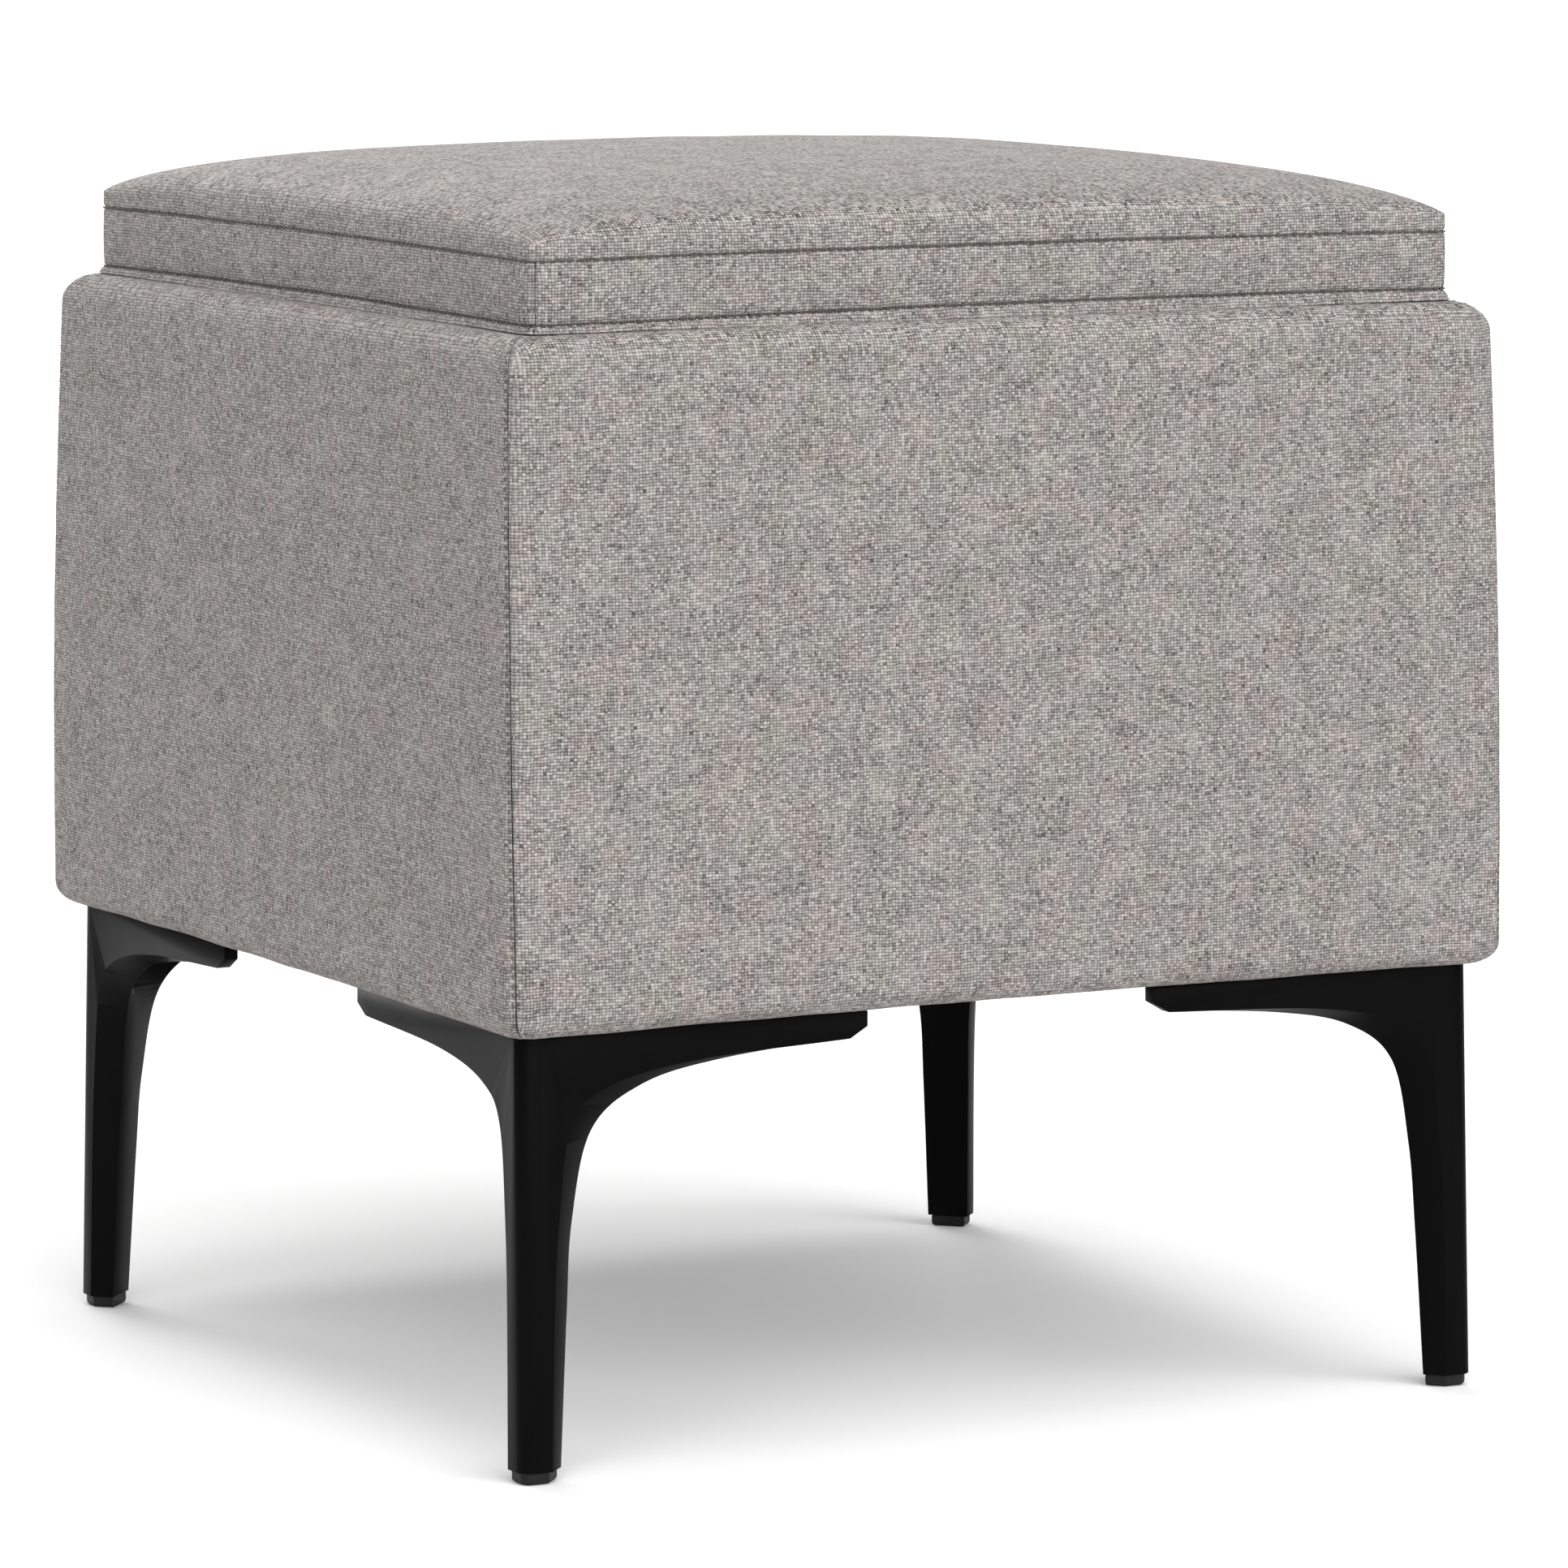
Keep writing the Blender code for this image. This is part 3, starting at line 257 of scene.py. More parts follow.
def cloth_coordinates(n):
    """Lengths along the cloth: x and z on the front and back, y and z on the sides, x and y on top."""
    x, y, z = n.split(n.position)
    faces = [n.math("ABSOLUTE", part) for part in n.split(n.normal)]
    on_top = n.math("GREATER_THAN", faces[2], 0.66)
    on_side = n.math("GREATER_THAN", faces[0], faces[1])
    sideways = n.math("MULTIPLY", on_side, n.math("SUBTRACT", 1.0, on_top))
    return n.lerp(sideways, x, y), n.lerp(on_top, z, y)


def thread_count(n, length, waves, axis, pitch):
    """Which thread lies here, and how far from its middle, once the wander is added."""
    wandering = [(wave[axis], reach) for wave, (_, reach) in zip(waves, WANDER)]
    place = n.math("DIVIDE", n.sum(*wandering, (length, 1.0)), pitch)
    number = n.math("FLOOR", place)
    return place, number, n.math("SUBTRACT", n.math("SUBTRACT", place, number), 0.5)


def weave(n):
    """Plain weave: places along the threads, their numbers, which is on top, the row gaps and the height."""
    across, up = cloth_coordinates(n)
    waves = [n.split(n.noise(n.position, scale, 1.0, "Color")) for scale, _ in WANDER]
    u, column, in_column = thread_count(n, across, waves, 0, WEAVE[0])
    v, row, in_row = thread_count(n, up, waves, 1, WEAVE[1])
    upright = n.math("FLOORED_MODULO", n.math("ADD", column, row), 2.0)
    side = n.lerp(upright, in_row, in_column)
    end = n.lerp(upright, in_column, in_row)
    height = n.sum((n.math("MULTIPLY", side, side), -3.0), (n.math("MULTIPLY", end, end), -1.5), (1.0, 1.0))
    return u, v, column, row, upright, n.math("MULTIPLY", in_row, in_row), n.math("MAXIMUM", height, 0.0)


def thread_noise(n, threads, run, seed):
    """Noise that is drawn out along each thread; run is how fast it changes along the thread."""
    u, v, column, row, upright = threads
    jump = 5.37
    weft = n.join(n.math("MULTIPLY", u, run), n.math("MULTIPLY", row, jump), seed)
    warp = n.join(n.math("MULTIPLY", column, jump), n.math("MULTIPLY", v, run), seed + 31.0)
    return n.lerp(upright, n.noise(weft, 1.0, 1.0), n.noise(warp, 1.0, 1.0))


def tinted(n, base, scale, start, tint):
    """Faint patches of a tint over the base colour."""
    share = n.step(n.noise(n.position, scale, 2.0), start, start + 0.18)
    return n.colour(share, base, n.colour(1.0, base, rgb(*tint), "MULTIPLY"))


def upholstery(name, shade=1.0):
    """Heathered linen-look plain weave: light warm grey with dark flecks and faint pink and green; a shade
    below 1 darkens it all as painted shade.
    """
    n = Nodes(name, 0.9, specular=0.12)
    *threads, row_gap_shade, height = weave(n)
    column, row, upright = threads[2:]
    cell = n.random(n.join(column, row, 4.0))
    tone = thread_noise(n, threads, 0.30, 0.0)
    streak = thread_noise(n, threads, 0.09, 15.0)
    cloud = n.noise(n.position, 75.0, 4.0)
    chance = n.sum((thread_noise(n, threads, 0.75, 7.0), 1.0), (cloud, 0.20), (cell, 0.16))
    fleck = n.step(chance, 0.70, 0.82)
    # The height and row gap terms darken the gaps between threads: painted shade of the weave, on top of its
    # bump.
    value = n.sum((tone, 0.62), (streak, 0.30), (height, 0.52), (cell, 0.50), (fleck, -0.34), (cloud, -0.14),
                  (upright, -0.05), (row_gap_shade, -0.7), (1.0, -0.30))
    on_top = n.step(n.split(n.normal)[2], 0.6, 0.8)
    contrast = n.sum((on_top, 0.6), (1.0, 1.0))
    value = n.sum((n.math("SUBTRACT", value, 0.5), contrast), (1.0, 0.5))
    base = n.colour(value, rgb(0.045, 0.042, 0.040), rgb(0.410, 0.384, 0.365))
    base = tinted(n, base, 85.0, 0.52, (1.04, 0.985, 0.99))
    base = tinted(n, base, 91.0, 0.54, (0.985, 1.008, 0.965))
    # shade below 1 multiplies the colour down: painted shade for cloth inside the seams.
    n.set("Base Color", n.colour(1.0, base, rgb(shade, shade, shade), "MULTIPLY"))
    n.set("Sheen Weight", 0.05)
    n.set("Sheen Roughness", 0.5)
    fuzz = n.noise(n.position, 2600.0, 2.0)
    n.bump(n.sum((height, 1.0), (cell, 0.35), (fuzz, 0.35)), 0.00040, 0.8)
    return n.material


def sewing_thread(name, colour):
    """Twisted polyester thread."""
    n = Nodes(name, 0.75, specular=0.25)
    fibres = n.noise(n.stretch(n.position, (4000.0, 4000.0, 900.0)), 1.0, 2.0)
    n.set("Base Color", n.colour(fibres, rgb(*(0.6 * c for c in colour)), rgb(*(1.3 * c for c in colour))))
    n.bump(fibres, 0.0001, 0.6)
    return n.material


def powder_coat(name):
    """Satin black coating on cast metal, with a faint orange peel."""
    n = Nodes(name, 0.38, specular=0.04)
    peel = n.noise(n.position, 900.0, 2.0)
    patch = n.noise(n.position, 30.0, 3.0)
    n.set("Base Color", n.colour(patch, rgb(0.0011, 0.0011, 0.0012), rgb(0.0020, 0.0020, 0.0021)))
    n.set("Roughness", n.sum((patch, 0.10), (peel, 0.06), (1.0, 0.34)))
    n.bump(peel, 0.00004, 0.35)
    return n.material


def moulded_plastic(name):
    n = Nodes(name, 0.5, specular=0.2)
    grain = n.noise(n.position, 1800.0, 2.0)
    n.set("Base Color", n.colour(grain, rgb(0.005, 0.005, 0.005), rgb(0.012, 0.012, 0.012)))
    n.set("Roughness", n.sum((grain, 0.25), (1.0, 0.40)))
    n.bump(grain, 0.00005, 0.5)
    return n.material


def zinc_plate(name):
    """Bright zinc on pressed steel, with fine drawing lines and a patchy passivation."""
    n = Nodes(name, 0.35, metallic=1.0)
    lines = n.noise(n.stretch(n.position, (6000.0, 700.0, 700.0)), 1.0, 2.0)
    patch = n.noise(n.position, 120.0, 3.0)
    base = n.colour(patch, rgb(0.52, 0.53, 0.52), rgb(0.70, 0.70, 0.66))
    n.set("Base Color", n.colour(n.step(patch, 0.60, 0.75), base, rgb(0.66, 0.62, 0.50)))
    n.set("Roughness", n.sum((lines, 0.18), (patch, 0.14), (1.0, 0.18)))
    n.bump(lines, 0.00002, 0.4)
    return n.material


def soft_foam(name):
    """Open-cell foam: pale yellow with fine pores."""
    n = Nodes(name, 0.95, specular=0.1)
    pores = n.cells(n.position, 1100.0)
    patch = n.noise(n.position, 25.0, 3.0)
    base = n.colour(patch, rgb(0.80, 0.70, 0.43), rgb(0.88, 0.82, 0.60))
    # The pores are painted darker: painted shade inside the open cells.
    n.set("Base Color", n.colour(n.step(pores, 0.05, 0.45), rgb(0.50, 0.42, 0.25), base))
    n.bump(pores, 0.0004, 0.6)
    return n.material


def fibre_wadding(name):
    n = Nodes(name, 1.0, specular=0.1)
    fibres = n.noise(n.stretch(n.position, (500.0, 2200.0, 1200.0)), 1.0, 4.0)
    n.set("Base Color", n.colour(fibres, rgb(0.70, 0.70, 0.68), rgb(0.92, 0.92, 0.90)))
    n.bump(fibres, 0.0008, 0.6)
    return n.material


def chipboard(name):
    """Pressed wood chips in light and dark browns."""
    n = Nodes(name, 0.8, specular=0.2)
    chips = n.cells(n.stretch(n.position, (230.0, 230.0, 520.0)), 1.0, "Color")
    shade = n.split(chips)[0]
    dust = n.noise(n.position, 900.0, 3.0)
    base = n.colour(shade, rgb(0.30, 0.20, 0.11), rgb(0.58, 0.44, 0.27))
    n.set("Base Color", n.colour(n.math("MULTIPLY", dust, 0.6), base, rgb(0.45, 0.34, 0.21)))
    n.bump(n.sum((shade, 0.6), (dust, 0.5)), 0.0003, 0.5)
    return n.material


def birch_plywood(name):
    """Pale veneer with long grain, and dark glue lines on the edges."""
    n = Nodes(name, 0.6, specular=0.3)
    _, _, z = n.split(n.position)
    grain = n.noise(n.stretch(n.position, (14.0, 420.0, 420.0)), 1.0, 4.0)
    figure = n.noise(n.stretch(n.position, (3.0, 40.0, 40.0)), 1.0, 3.0)
    base = n.colour(n.sum((grain, 0.7), (figure, 0.4)), rgb(0.44, 0.28, 0.14), rgb(0.74, 0.58, 0.38))
    ply = n.math("ABSOLUTE", n.math("SINE", n.math("MULTIPLY", z, math.pi / 0.0020)))
    on_edge = n.math("LESS_THAN", n.math("ABSOLUTE", n.split(n.normal)[2]), 0.5)
    glue = n.math("MULTIPLY", on_edge, n.math("LESS_THAN", ply, 0.22))
    n.set("Base Color", n.colour(glue, base, rgb(0.16, 0.09, 0.05)))
    n.bump(grain, 0.0001, 0.5)
    return n.material


def spunbond(name, dark, light, dimples=900.0):
    """Non-woven sheet with a bonded dot pattern and stray fibres."""
    n = Nodes(name, 0.85, specular=0.2)
    across, up = cloth_coordinates(n)
    diagonal = n.join(n.math("ADD", across, up), n.math("SUBTRACT", across, up))
    u, v, _ = n.split(n.stretch(diagonal, (dimples, dimples, 0.0)))
    dots = n.math("MULTIPLY", n.math("SINE", u), n.math("SINE", v))
    dots = n.step(dots, 0.35, 0.8)
    fibres = n.noise(n.stretch(n.position, (900.0, 2400.0, 1600.0)), 1.0, 3.0)
    mottle = n.noise(n.position, 45.0, 3.0)
    share = n.sum((fibres, 0.7), (mottle, 0.5), (dots, -0.35))
    n.set("Base Color", n.colour(share, rgb(*dark), rgb(*light)))
    n.set("Sheen Weight", 0.1)
    n.bump(n.sum((dots, -1.0), (fibres, 0.5)), 0.0002, 0.6)
    return n.material


MATERIALS = {
    "upholstery": upholstery("upholstery_weave"),
    # Cloth inside the seams, darkened to a fifth: painted shade where the cloth turns in.
    "painted_seam_shade": upholstery("upholstery_painted_seam_shade", 0.20),
    "seam_thread": sewing_thread("seam_thread", (0.105, 0.092, 0.082)),
    "lid_thread": sewing_thread("lid_thread", (0.070, 0.062, 0.053)),
    "leg_metal": powder_coat("leg_powder_coat"),
    "black_plastic": moulded_plastic("glide_plastic"),
    "zinc_steel": zinc_plate("zinc_plated_steel"),
    "foam": soft_foam("foam"),
    "wadding": fibre_wadding("wadding"),
    "particle_board": chipboard("particle_board"),
    "plywood": birch_plywood("birch_plywood"),
    "lining": spunbond("black_lining", (0.010, 0.010, 0.011), (0.034, 0.034, 0.036), 700.0),
    "dust_cover": spunbond("dust_cover_sheet", (0.008, 0.008, 0.008), (0.026, 0.026, 0.026)),
}
CLOTH = ("upholstery", "painted_seam_shade")


def finish_cad_nodes():
    """Every carried-over node gets the material of its record slot."""
    for part in frame["record"]["subparts"]:
        mesh = frame["nodes"][part["node"]].data
        mesh.materials.clear()
        mesh.materials.append(MATERIALS[part["material_slot"]])


# ---------------------------------------------------------------- mesh tools
def to_object(name, bm):
    mesh = bpy.data.meshes.new(name)
    bm.to_mesh(mesh)
    bm.free()
    obj = bpy.data.objects.new(name, mesh)
    bpy.context.scene.collection.objects.link(obj)
    return obj


def smooth(obj, sharp):
    """Smooth, but for edges sharper than this angle in degrees."""
    obj.data.shade_smooth()
    obj.data.set_sharp_from_angle(angle=math.radians(sharp))


def add_piece(name, bm, slot, body, replaces=(), materials=None, sharp=50):
    """Makes the object, smooth but for its sharp edges, hangs it on its body's empty and hides the frame
    parts it replaces.
    """
    bmesh.ops.remove_doubles(bm, verts=bm.verts, dist=1e-6)
    bmesh.ops.recalc_face_normals(bm, faces=bm.faces)
    if bm.calc_volume(signed=True) < 0:
        bmesh.ops.reverse_faces(bm, faces=bm.faces)
    obj = to_object(name, bm)
    for key in materials or (slot,):
        obj.data.materials.append(MATERIALS[key])
    smooth(obj, sharp)
    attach(obj, body)
    if replaces:
        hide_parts(*replaces)
    return obj


def add_box(bm, low, high):
    centre = (Vector(low) + Vector(high)) / 2
    size = Vector(high) - Vector(low)
    bmesh.ops.create_cube(bm, size=1.0, matrix=Matrix.Translation(centre) @ Matrix.Diagonal((*size, 1.0)))


def add_prism(bm, outline, low, high):
    """Raises an outline in x and y from one height to another."""
    ends = [[bm.verts.new((x, y, z)) for x, y in outline] for z in (low, high)]
    bridge(bm, *ends)
    for loop in ends:
        bm.faces.new(loop)


def clamp(value, low=0.0, high=1.0):
    return min(max(value, low), high)


def evenly(low, high, steps):
    """Evenly spaced values, both ends included."""
    return [low + (high - low) * i / steps for i in range(steps + 1)]


def turned(quarter, size):
    """A turn by whole quarters about Z."""
    return Matrix.Rotation(math.radians(90 * quarter), size, "Z")


def arc(centre, radius, start, end, steps):
    """Points on an arc, angles in degrees."""
    angles = [math.radians(start + (end - start) * i / steps) for i in range(steps + 1)]
    return [(centre[0] + radius * math.cos(a), centre[1] + radius * math.sin(a)) for a in angles]


def bridge(bm, first, second, material=0):
    count = len(first)
    for i in range(count):
        face = bm.faces.new((first[i], first[(i + 1) % count], second[(i + 1) % count], second[i]))
        face.material_index = material


def loft(bm, rings, inside=(), closed=True):
    """Faces through rings of points; the strips listed in inside take the second material."""
    loops = [[bm.verts.new(point) for point in ring] for ring in rings]
    for index in range(len(loops) - (0 if closed else 1)):
        bridge(bm, loops[index], loops[(index + 1) % len(loops)], int(index in inside))
    return loops


def add_lathe(bm, profile, matrix, segments=24):
    """Turns (radius, height) points about local Z, from axis to axis."""
    rings = []
    for radius, height in profile:
        turns = [2 * math.pi * i / segments for i in range(segments if radius else 1)]
        places = [Vector((radius * math.cos(a), radius * math.sin(a), height)) for a in turns]
        rings.append([bm.verts.new(matrix @ place) for place in places])
    for low, high in zip(rings, rings[1:]):
        for i in range(segments):
            j = (i + 1) % segments
            quad = (low[i % len(low)], low[j % len(low)], high[j % len(high)], high[i % len(high)])
            unique = list(dict.fromkeys(quad))
            if len(unique) > 2:
                bm.faces.new(unique)


def cutter(name, bm):
    """A solid that only cuts; removed once its cut is made."""
    bmesh.ops.recalc_face_normals(bm, faces=bm.faces)
    return to_object(name, bm)


def apply_modifiers(obj):
    bpy.context.view_layer.update()
    evaluated = obj.evaluated_get(bpy.context.evaluated_depsgraph_get())
    mesh = bpy.data.meshes.new_from_object(evaluated)
    obj.modifiers.clear()
    obj.data = mesh


def cut(obj, tool, operation="DIFFERENCE"):
    modifier = obj.modifiers.new("cut", "BOOLEAN")
    modifier.operation = operation
    modifier.solver = "EXACT"
    modifier.object = tool
    apply_modifiers(obj)
    bpy.data.objects.remove(tool, do_unlink=True)


def round_edges(obj, width, segments=3):
    modifier = obj.modifiers.new("round", "BEVEL")
    modifier.width = width
    modifier.segments = segments
    modifier.limit_method = "ANGLE"
    modifier.angle_limit = math.radians(35)
    modifier.harden_normals = True
    apply_modifiers(obj)


def soft(point, scale, seed=0.0):
    """Smooth noise from -1 to 1."""
    return noise.noise(Vector(point) * scale + Vector((seed, seed * 1.7, -seed)))


def square_ring(half, radius, angles, between):
    """A rounded square, anticlockwise; angles(quarter) are the columns of each corner, in degrees."""
    centre = half - radius
    points = []
    for quarter in range(4):
        turns = [math.radians(a) for a in angles(quarter)]
        corner = [(centre + radius * math.cos(a), centre + radius * math.sin(a)) for a in turns]
        side = [(centre - 2 * centre * k / (between + 1), half) for k in range(1, between + 1)]
        points += [turned(quarter, 2) @ Vector(p) for p in corner + side]
    return points


def same_columns(*angles):
    """For square_ring: every corner has the same columns."""
    return lambda quarter: angles


def corner_columns(quarter, seam, radius):
    """A corner's columns in degrees, close together at its seam; seam counts from the side face."""
    near = [seam + math.degrees(offset / radius) for offset in SEAM_OFFSETS]
    before = [near[0] * k / COLUMNS_BEFORE for k in range(COLUMNS_BEFORE)]
    after = [near[-1] + (90 - near[-1]) * (k + 1) / COLUMNS_AFTER for k in range(COLUMNS_AFTER)]
    columns = before + near + after
    return columns if quarter % 2 == 0 else [90 - a for a in columns[::-1]]


def seam_on_quarter(quarter, seam):
    return seam if quarter % 2 == 0 else 90 - seam


def columns_in_seam():
    """The ring's column gaps that lie inside a vertical seam, one on each side of its middle; their faces
    take the painted seam shade.
    """
    found = set()
    for quarter in range(4):
        first = COLUMNS_BEFORE if quarter % 2 == 0 else COLUMNS_AFTER
        middle = quarter * (CORNER_COLUMNS + SIDE_COLUMNS) + first + len(SEAM_OFFSETS) // 2
        found.update((middle - 1, middle))
    return found


def seam_press(angle, radius, middle):
    """How far the cloth goes in at a vertical seam, with a slight puff beside it."""
    distance = math.radians(angle - middle) * radius
    dip = SEAM_DEPTH * math.exp(-(distance / SEAM_HALF_WIDTH) ** 2)
    puff = SEAM_PUFF * math.exp(-((abs(distance) - 0.0022) / 0.0014) ** 2)
    return dip - puff


def seamed_ring(half, radius, seam, share):
    """A rounded square whose corners are pressed in at their seams."""
    flat = square_ring(half, radius, lambda quarter: corner_columns(quarter, seam, CORNER_R), SIDE_COLUMNS)
    if not share:
        return flat
    moved, index = [], 0
    for quarter in range(4):
        for a in corner_columns(quarter, seam, CORNER_R):
            out = math.radians(a + 90 * quarter)
            press = share * seam_press(a, CORNER_R, seam_on_quarter(quarter, seam))
            moved.append(flat[index] - press * Vector((math.cos(out), math.sin(out))))
            index += 1
        moved += flat[index:index + SIDE_COLUMNS]
        index += SIDE_COLUMNS
    return moved


# ---------------------------------------------------------------- box
def side_half(height):
    rise = max(height - SIDE_LEAN_START, 0.0)
    return HALF - SIDE_LEAN * rise * rise


def cover_line():
    """The cover's outer line: turned under, up the side, over the rim and down inside."""
    bottom = (HALF - BOTTOM_EDGE_R, BODY_BOTTOM + BOTTOM_EDGE_R)
    shoulder_z = RIM_TOP - SHOULDER_R
    roll = 0.0022
    line = [(TURN_UNDER_END, BODY_BOTTOM), ((TURN_UNDER_END + bottom[0]) / 2, BODY_BOTTOM)]
    line += arc(bottom, BOTTOM_EDGE_R, -90, 0, 9)
    line += [(side_half(z), z) for z in evenly(bottom[1] + 0.004, shoulder_z - 0.004, 44)]
    flat_start = side_half(shoulder_z) - SHOULDER_R
    line += arc((flat_start, shoulder_z), SHOULDER_R, 0, 90, 12)
    line += [(half, RIM_TOP) for half in evenly(flat_start, FLAP_IN + roll, 3)[1:3]]
    line += arc((FLAP_IN + roll, RIM_TOP - roll), roll, 90, 180, 5)
    line += [(FLAP_IN, z) for z in evenly(RIM_TOP - roll, FLAP_END, 4)[1:]]
    return line


def offset_line(line, distance):
    """The line moved to its left."""
    moved = []
    for i, point in enumerate(line):
        along = Vector(line[min(i + 1, len(line) - 1)]) - Vector(line[max(i - 1, 0)])
        along.normalize()
        moved.append(tuple(Vector(point) + distance * Vector((-along.y, along.x))))
    return moved


def corner_radius(half):
    """Vertical corners: full radius outside, tight inside the rim."""
    tight = 0.002
    share = (half - FLAP_IN) / (CORNER_FULL - FLAP_IN)
    return tight + (CORNER_R - tight) * clamp(share)


def cover_seam(height):
    """The vertical seams drift from the middle of their corners towards the side faces as they rise."""
    low, high, drift = 49, 21, 137
    return clamp(low - drift * (height - SIDE_LEAN_START), high, low)


def corner_nearness(x, y):
    """0 in the middle of a side, 1 at a corner."""
    return (min(abs(x), abs(y)) / max(abs(x), abs(y), 0.001)) ** 2


def outsideness(half):
    """0 inside the rim, 1 on the outside of the cover."""
    return clamp((half - 0.186) / 0.006)


def cover_sag(x, y, height):
    """The bottom edge waves a little, and the shoulder drops at the corners."""
    low = max(0.0, 1 - (height - BODY_BOTTOM) / 0.016)
    high = max(0.0, 1 - (RIM_TOP - height) / 0.030)
    near = corner_nearness(x, y)
    wave = 0.00045 * soft((x, y, 0.0), 34, 8.0) + 0.0005 - 0.0011 * near
    return low * wave - high * SHOULDER_DROP * near ** 2


def cover_ring(half, height, outer):
    radius = corner_radius(half)
    on_outside = outsideness(half) if outer else 0.0
    flat = seamed_ring(half, radius, cover_seam(height), on_outside)
    if not outer:
        return [(*p, height) for p in flat]
    points = []
    for p in flat:
        place = (p.x, p.y, height)
        out = p.normalized()
        swell = 0.00030 * soft(place, 13) + 0.00012 * soft(place, 48, 3.0)
        sag = cover_sag(p.x, p.y, height) * on_outside
        points.append((p.x + out.x * swell * on_outside, p.y + out.y * swell * on_outside, height + sag))
    return points


def seam_point(quarter, half, height, beside):
    """A point on a vertical seam and its outward direction; beside moves it towards the side face."""
    radius = corner_radius(half)
    towards_side = -1 if quarter % 2 == 0 else 1
    turn = seam_on_quarter(quarter, cover_seam(height)) + 90 * quarter
    a = math.radians(turn) + towards_side * beside / radius
    corner = turned(quarter, 2) @ Vector((half - radius, half - radius))
    out = Vector((math.cos(a), math.sin(a)))
    place = corner + radius * out
    return Vector((*place, height + cover_sag(*place, height) * outsideness(half))), out


def add_stitch(bm, centre, out, along, length, width, thick):
    """A flattened oval of thread."""
    out, along = Vector(out).normalized(), Vector(along).normalized()
    across = along.cross(out)
    axes = Matrix((across * width / 2, out * thick / 2, along * length / 2)).transposed()
    matrix = Matrix.Translation(centre) @ axes.to_4x4()
    bmesh.ops.create_icosphere(bm, subdivisions=2, radius=1.0, matrix=matrix)


def corner_stitches(line):
    """Dark thread beside each vertical seam, from the bottom edge to the top of the shoulder."""
    path = [p for p in line if p[0] > 0.190 and p[1] > BODY_BOTTOM + 0.002]
    size = (0.0019, 0.0013, 0.0007)
    bm = bmesh.new()
    for quarter in range(4):
        travelled, due = 0.0, STITCH_PITCH
        for (h0, z0), (h1, z1) in zip(path, path[1:]):
            length = math.hypot(h1 - h0, z1 - z0)
            while due <= travelled + length:
                share = (due - travelled) / length
                half, height = h0 + (h1 - h0) * share, z0 + (z1 - z0) * share
                centre, out = seam_point(quarter, half, height, 0.0009)
                rise = Vector((*(out * (h1 - h0)), z1 - z0))
                outward = Vector((*(out * (z1 - z0)), h0 - h1))
                add_stitch(bm, centre - outward.normalized() * 0.0001, outward, rise, *size)
                due += STITCH_PITCH
            travelled += length
    add_piece("corner_seam_stitches", bm, "upholstery", "box", materials=("seam_thread",))


def box_cover():
    """The cover's outside, and its inside one thickness of cloth away."""
    line = cover_line()
    rings = [cover_ring(half, z, True) for half, z in line]
    rings += [cover_ring(half, z, False) for half, z in offset_line(line, FABRIC)[::-1]]
    bm = bmesh.new()
    loops = loft(bm, rings)
    dark = columns_in_seam()
    on_outside = {i for i, (half, z) in enumerate(line) if half > 0.188 or z < BODY_BOTTOM + 0.001}
    place = {v: (r, c) for r, loop in enumerate(loops) for c, v in enumerate(loop)}
    # Faces inside the vertical seams on the outside take the darkened cloth: painted shade in the seams.
    for face in bm.faces:
        rows, cols = zip(*(place[v] for v in face.verts))
        if min(cols) in dark and max(cols) - min(cols) == 1 and max(rows) in on_outside:
            face.material_index = 1
    cover = add_piece("box_cover", bm, "upholstery", "box", ("body_cover",), CLOTH)
    corner_stitches(line)


# ---------------------------------------------------------------- lid
def seam_sway(x, y, height):
    """The horizontal seams aren't quite level: the height that a point of the lid's side moves by."""
    place = (x, y, 0.0)
    near = max(0.0, 1 - abs(height - (UPPER_SEAM + LOWER_SEAM) / 2) / 0.030)
    middle = 1 - corner_nearness(x, y)
    upper = 0.0018 * middle - 0.0016 + 0.0004 * soft(place, 16, 5.0) + 0.0002 * soft(place, 60, 2.0)
    lower = 0.0022 * middle - 0.0011 + 0.0012 * x / LID_HALF + 0.0004 * soft(place, 18, 9.0)
    share = clamp((height - LOWER_SEAM) / (UPPER_SEAM - LOWER_SEAM))
    still = LIP_BOTTOM + 0.0004
    lip = clamp((height - still) / (LOWER_SEAM - still))
    return near * (upper * share + lower * (1 - share)) * lip


def crown_height(x, y, half):
    slope_x = max(1 - abs(x / half) ** CROWN_POWER, 0.0) ** CROWN_FLAT
    slope_y = max(1 - abs(y / half) ** CROWN_POWER, 0.0) ** CROWN_FLAT
    return CROWN_EDGE + CROWN_RISE * slope_x * slope_y


def lid_ring(half, height, radius=LID_CORNER_R, outer=True, bulge=0.0):
    """A ring round the lid's side; the bulge is fullest in the middle of each side."""
    flat = seamed_ring(half, radius, LID_SEAM_ANGLE, 0.35 if outer else 0.0)
    points = []
    for p in flat:
        swell = 0.0
        if outer:
            along = min(abs(p.x), abs(p.y)) / LID_HALF
            swell = bulge * (1 - 0.55 * along ** 4) + 0.00018 * soft((p.x, p.y, height), 26, 4.0)
        beyond_x, beyond_y = abs(p.x) > abs(p.y) - radius, abs(p.y) > abs(p.x) - radius
        out = Vector((p.x if beyond_x else 0.0, p.y if beyond_y else 0.0)).normalized()
        sway = seam_sway(p.x, p.y, height) if outer else 0.0
        points.append((p.x + out.x * swell, p.y + out.y * swell, height + sway))
    return points


def dome_shares():
    """Ring sizes from the edge to the middle: close together at the edge, where the crown is steep."""
    steps = 36
    return [1 - (i / steps) ** 2.6 for i in range(steps)]


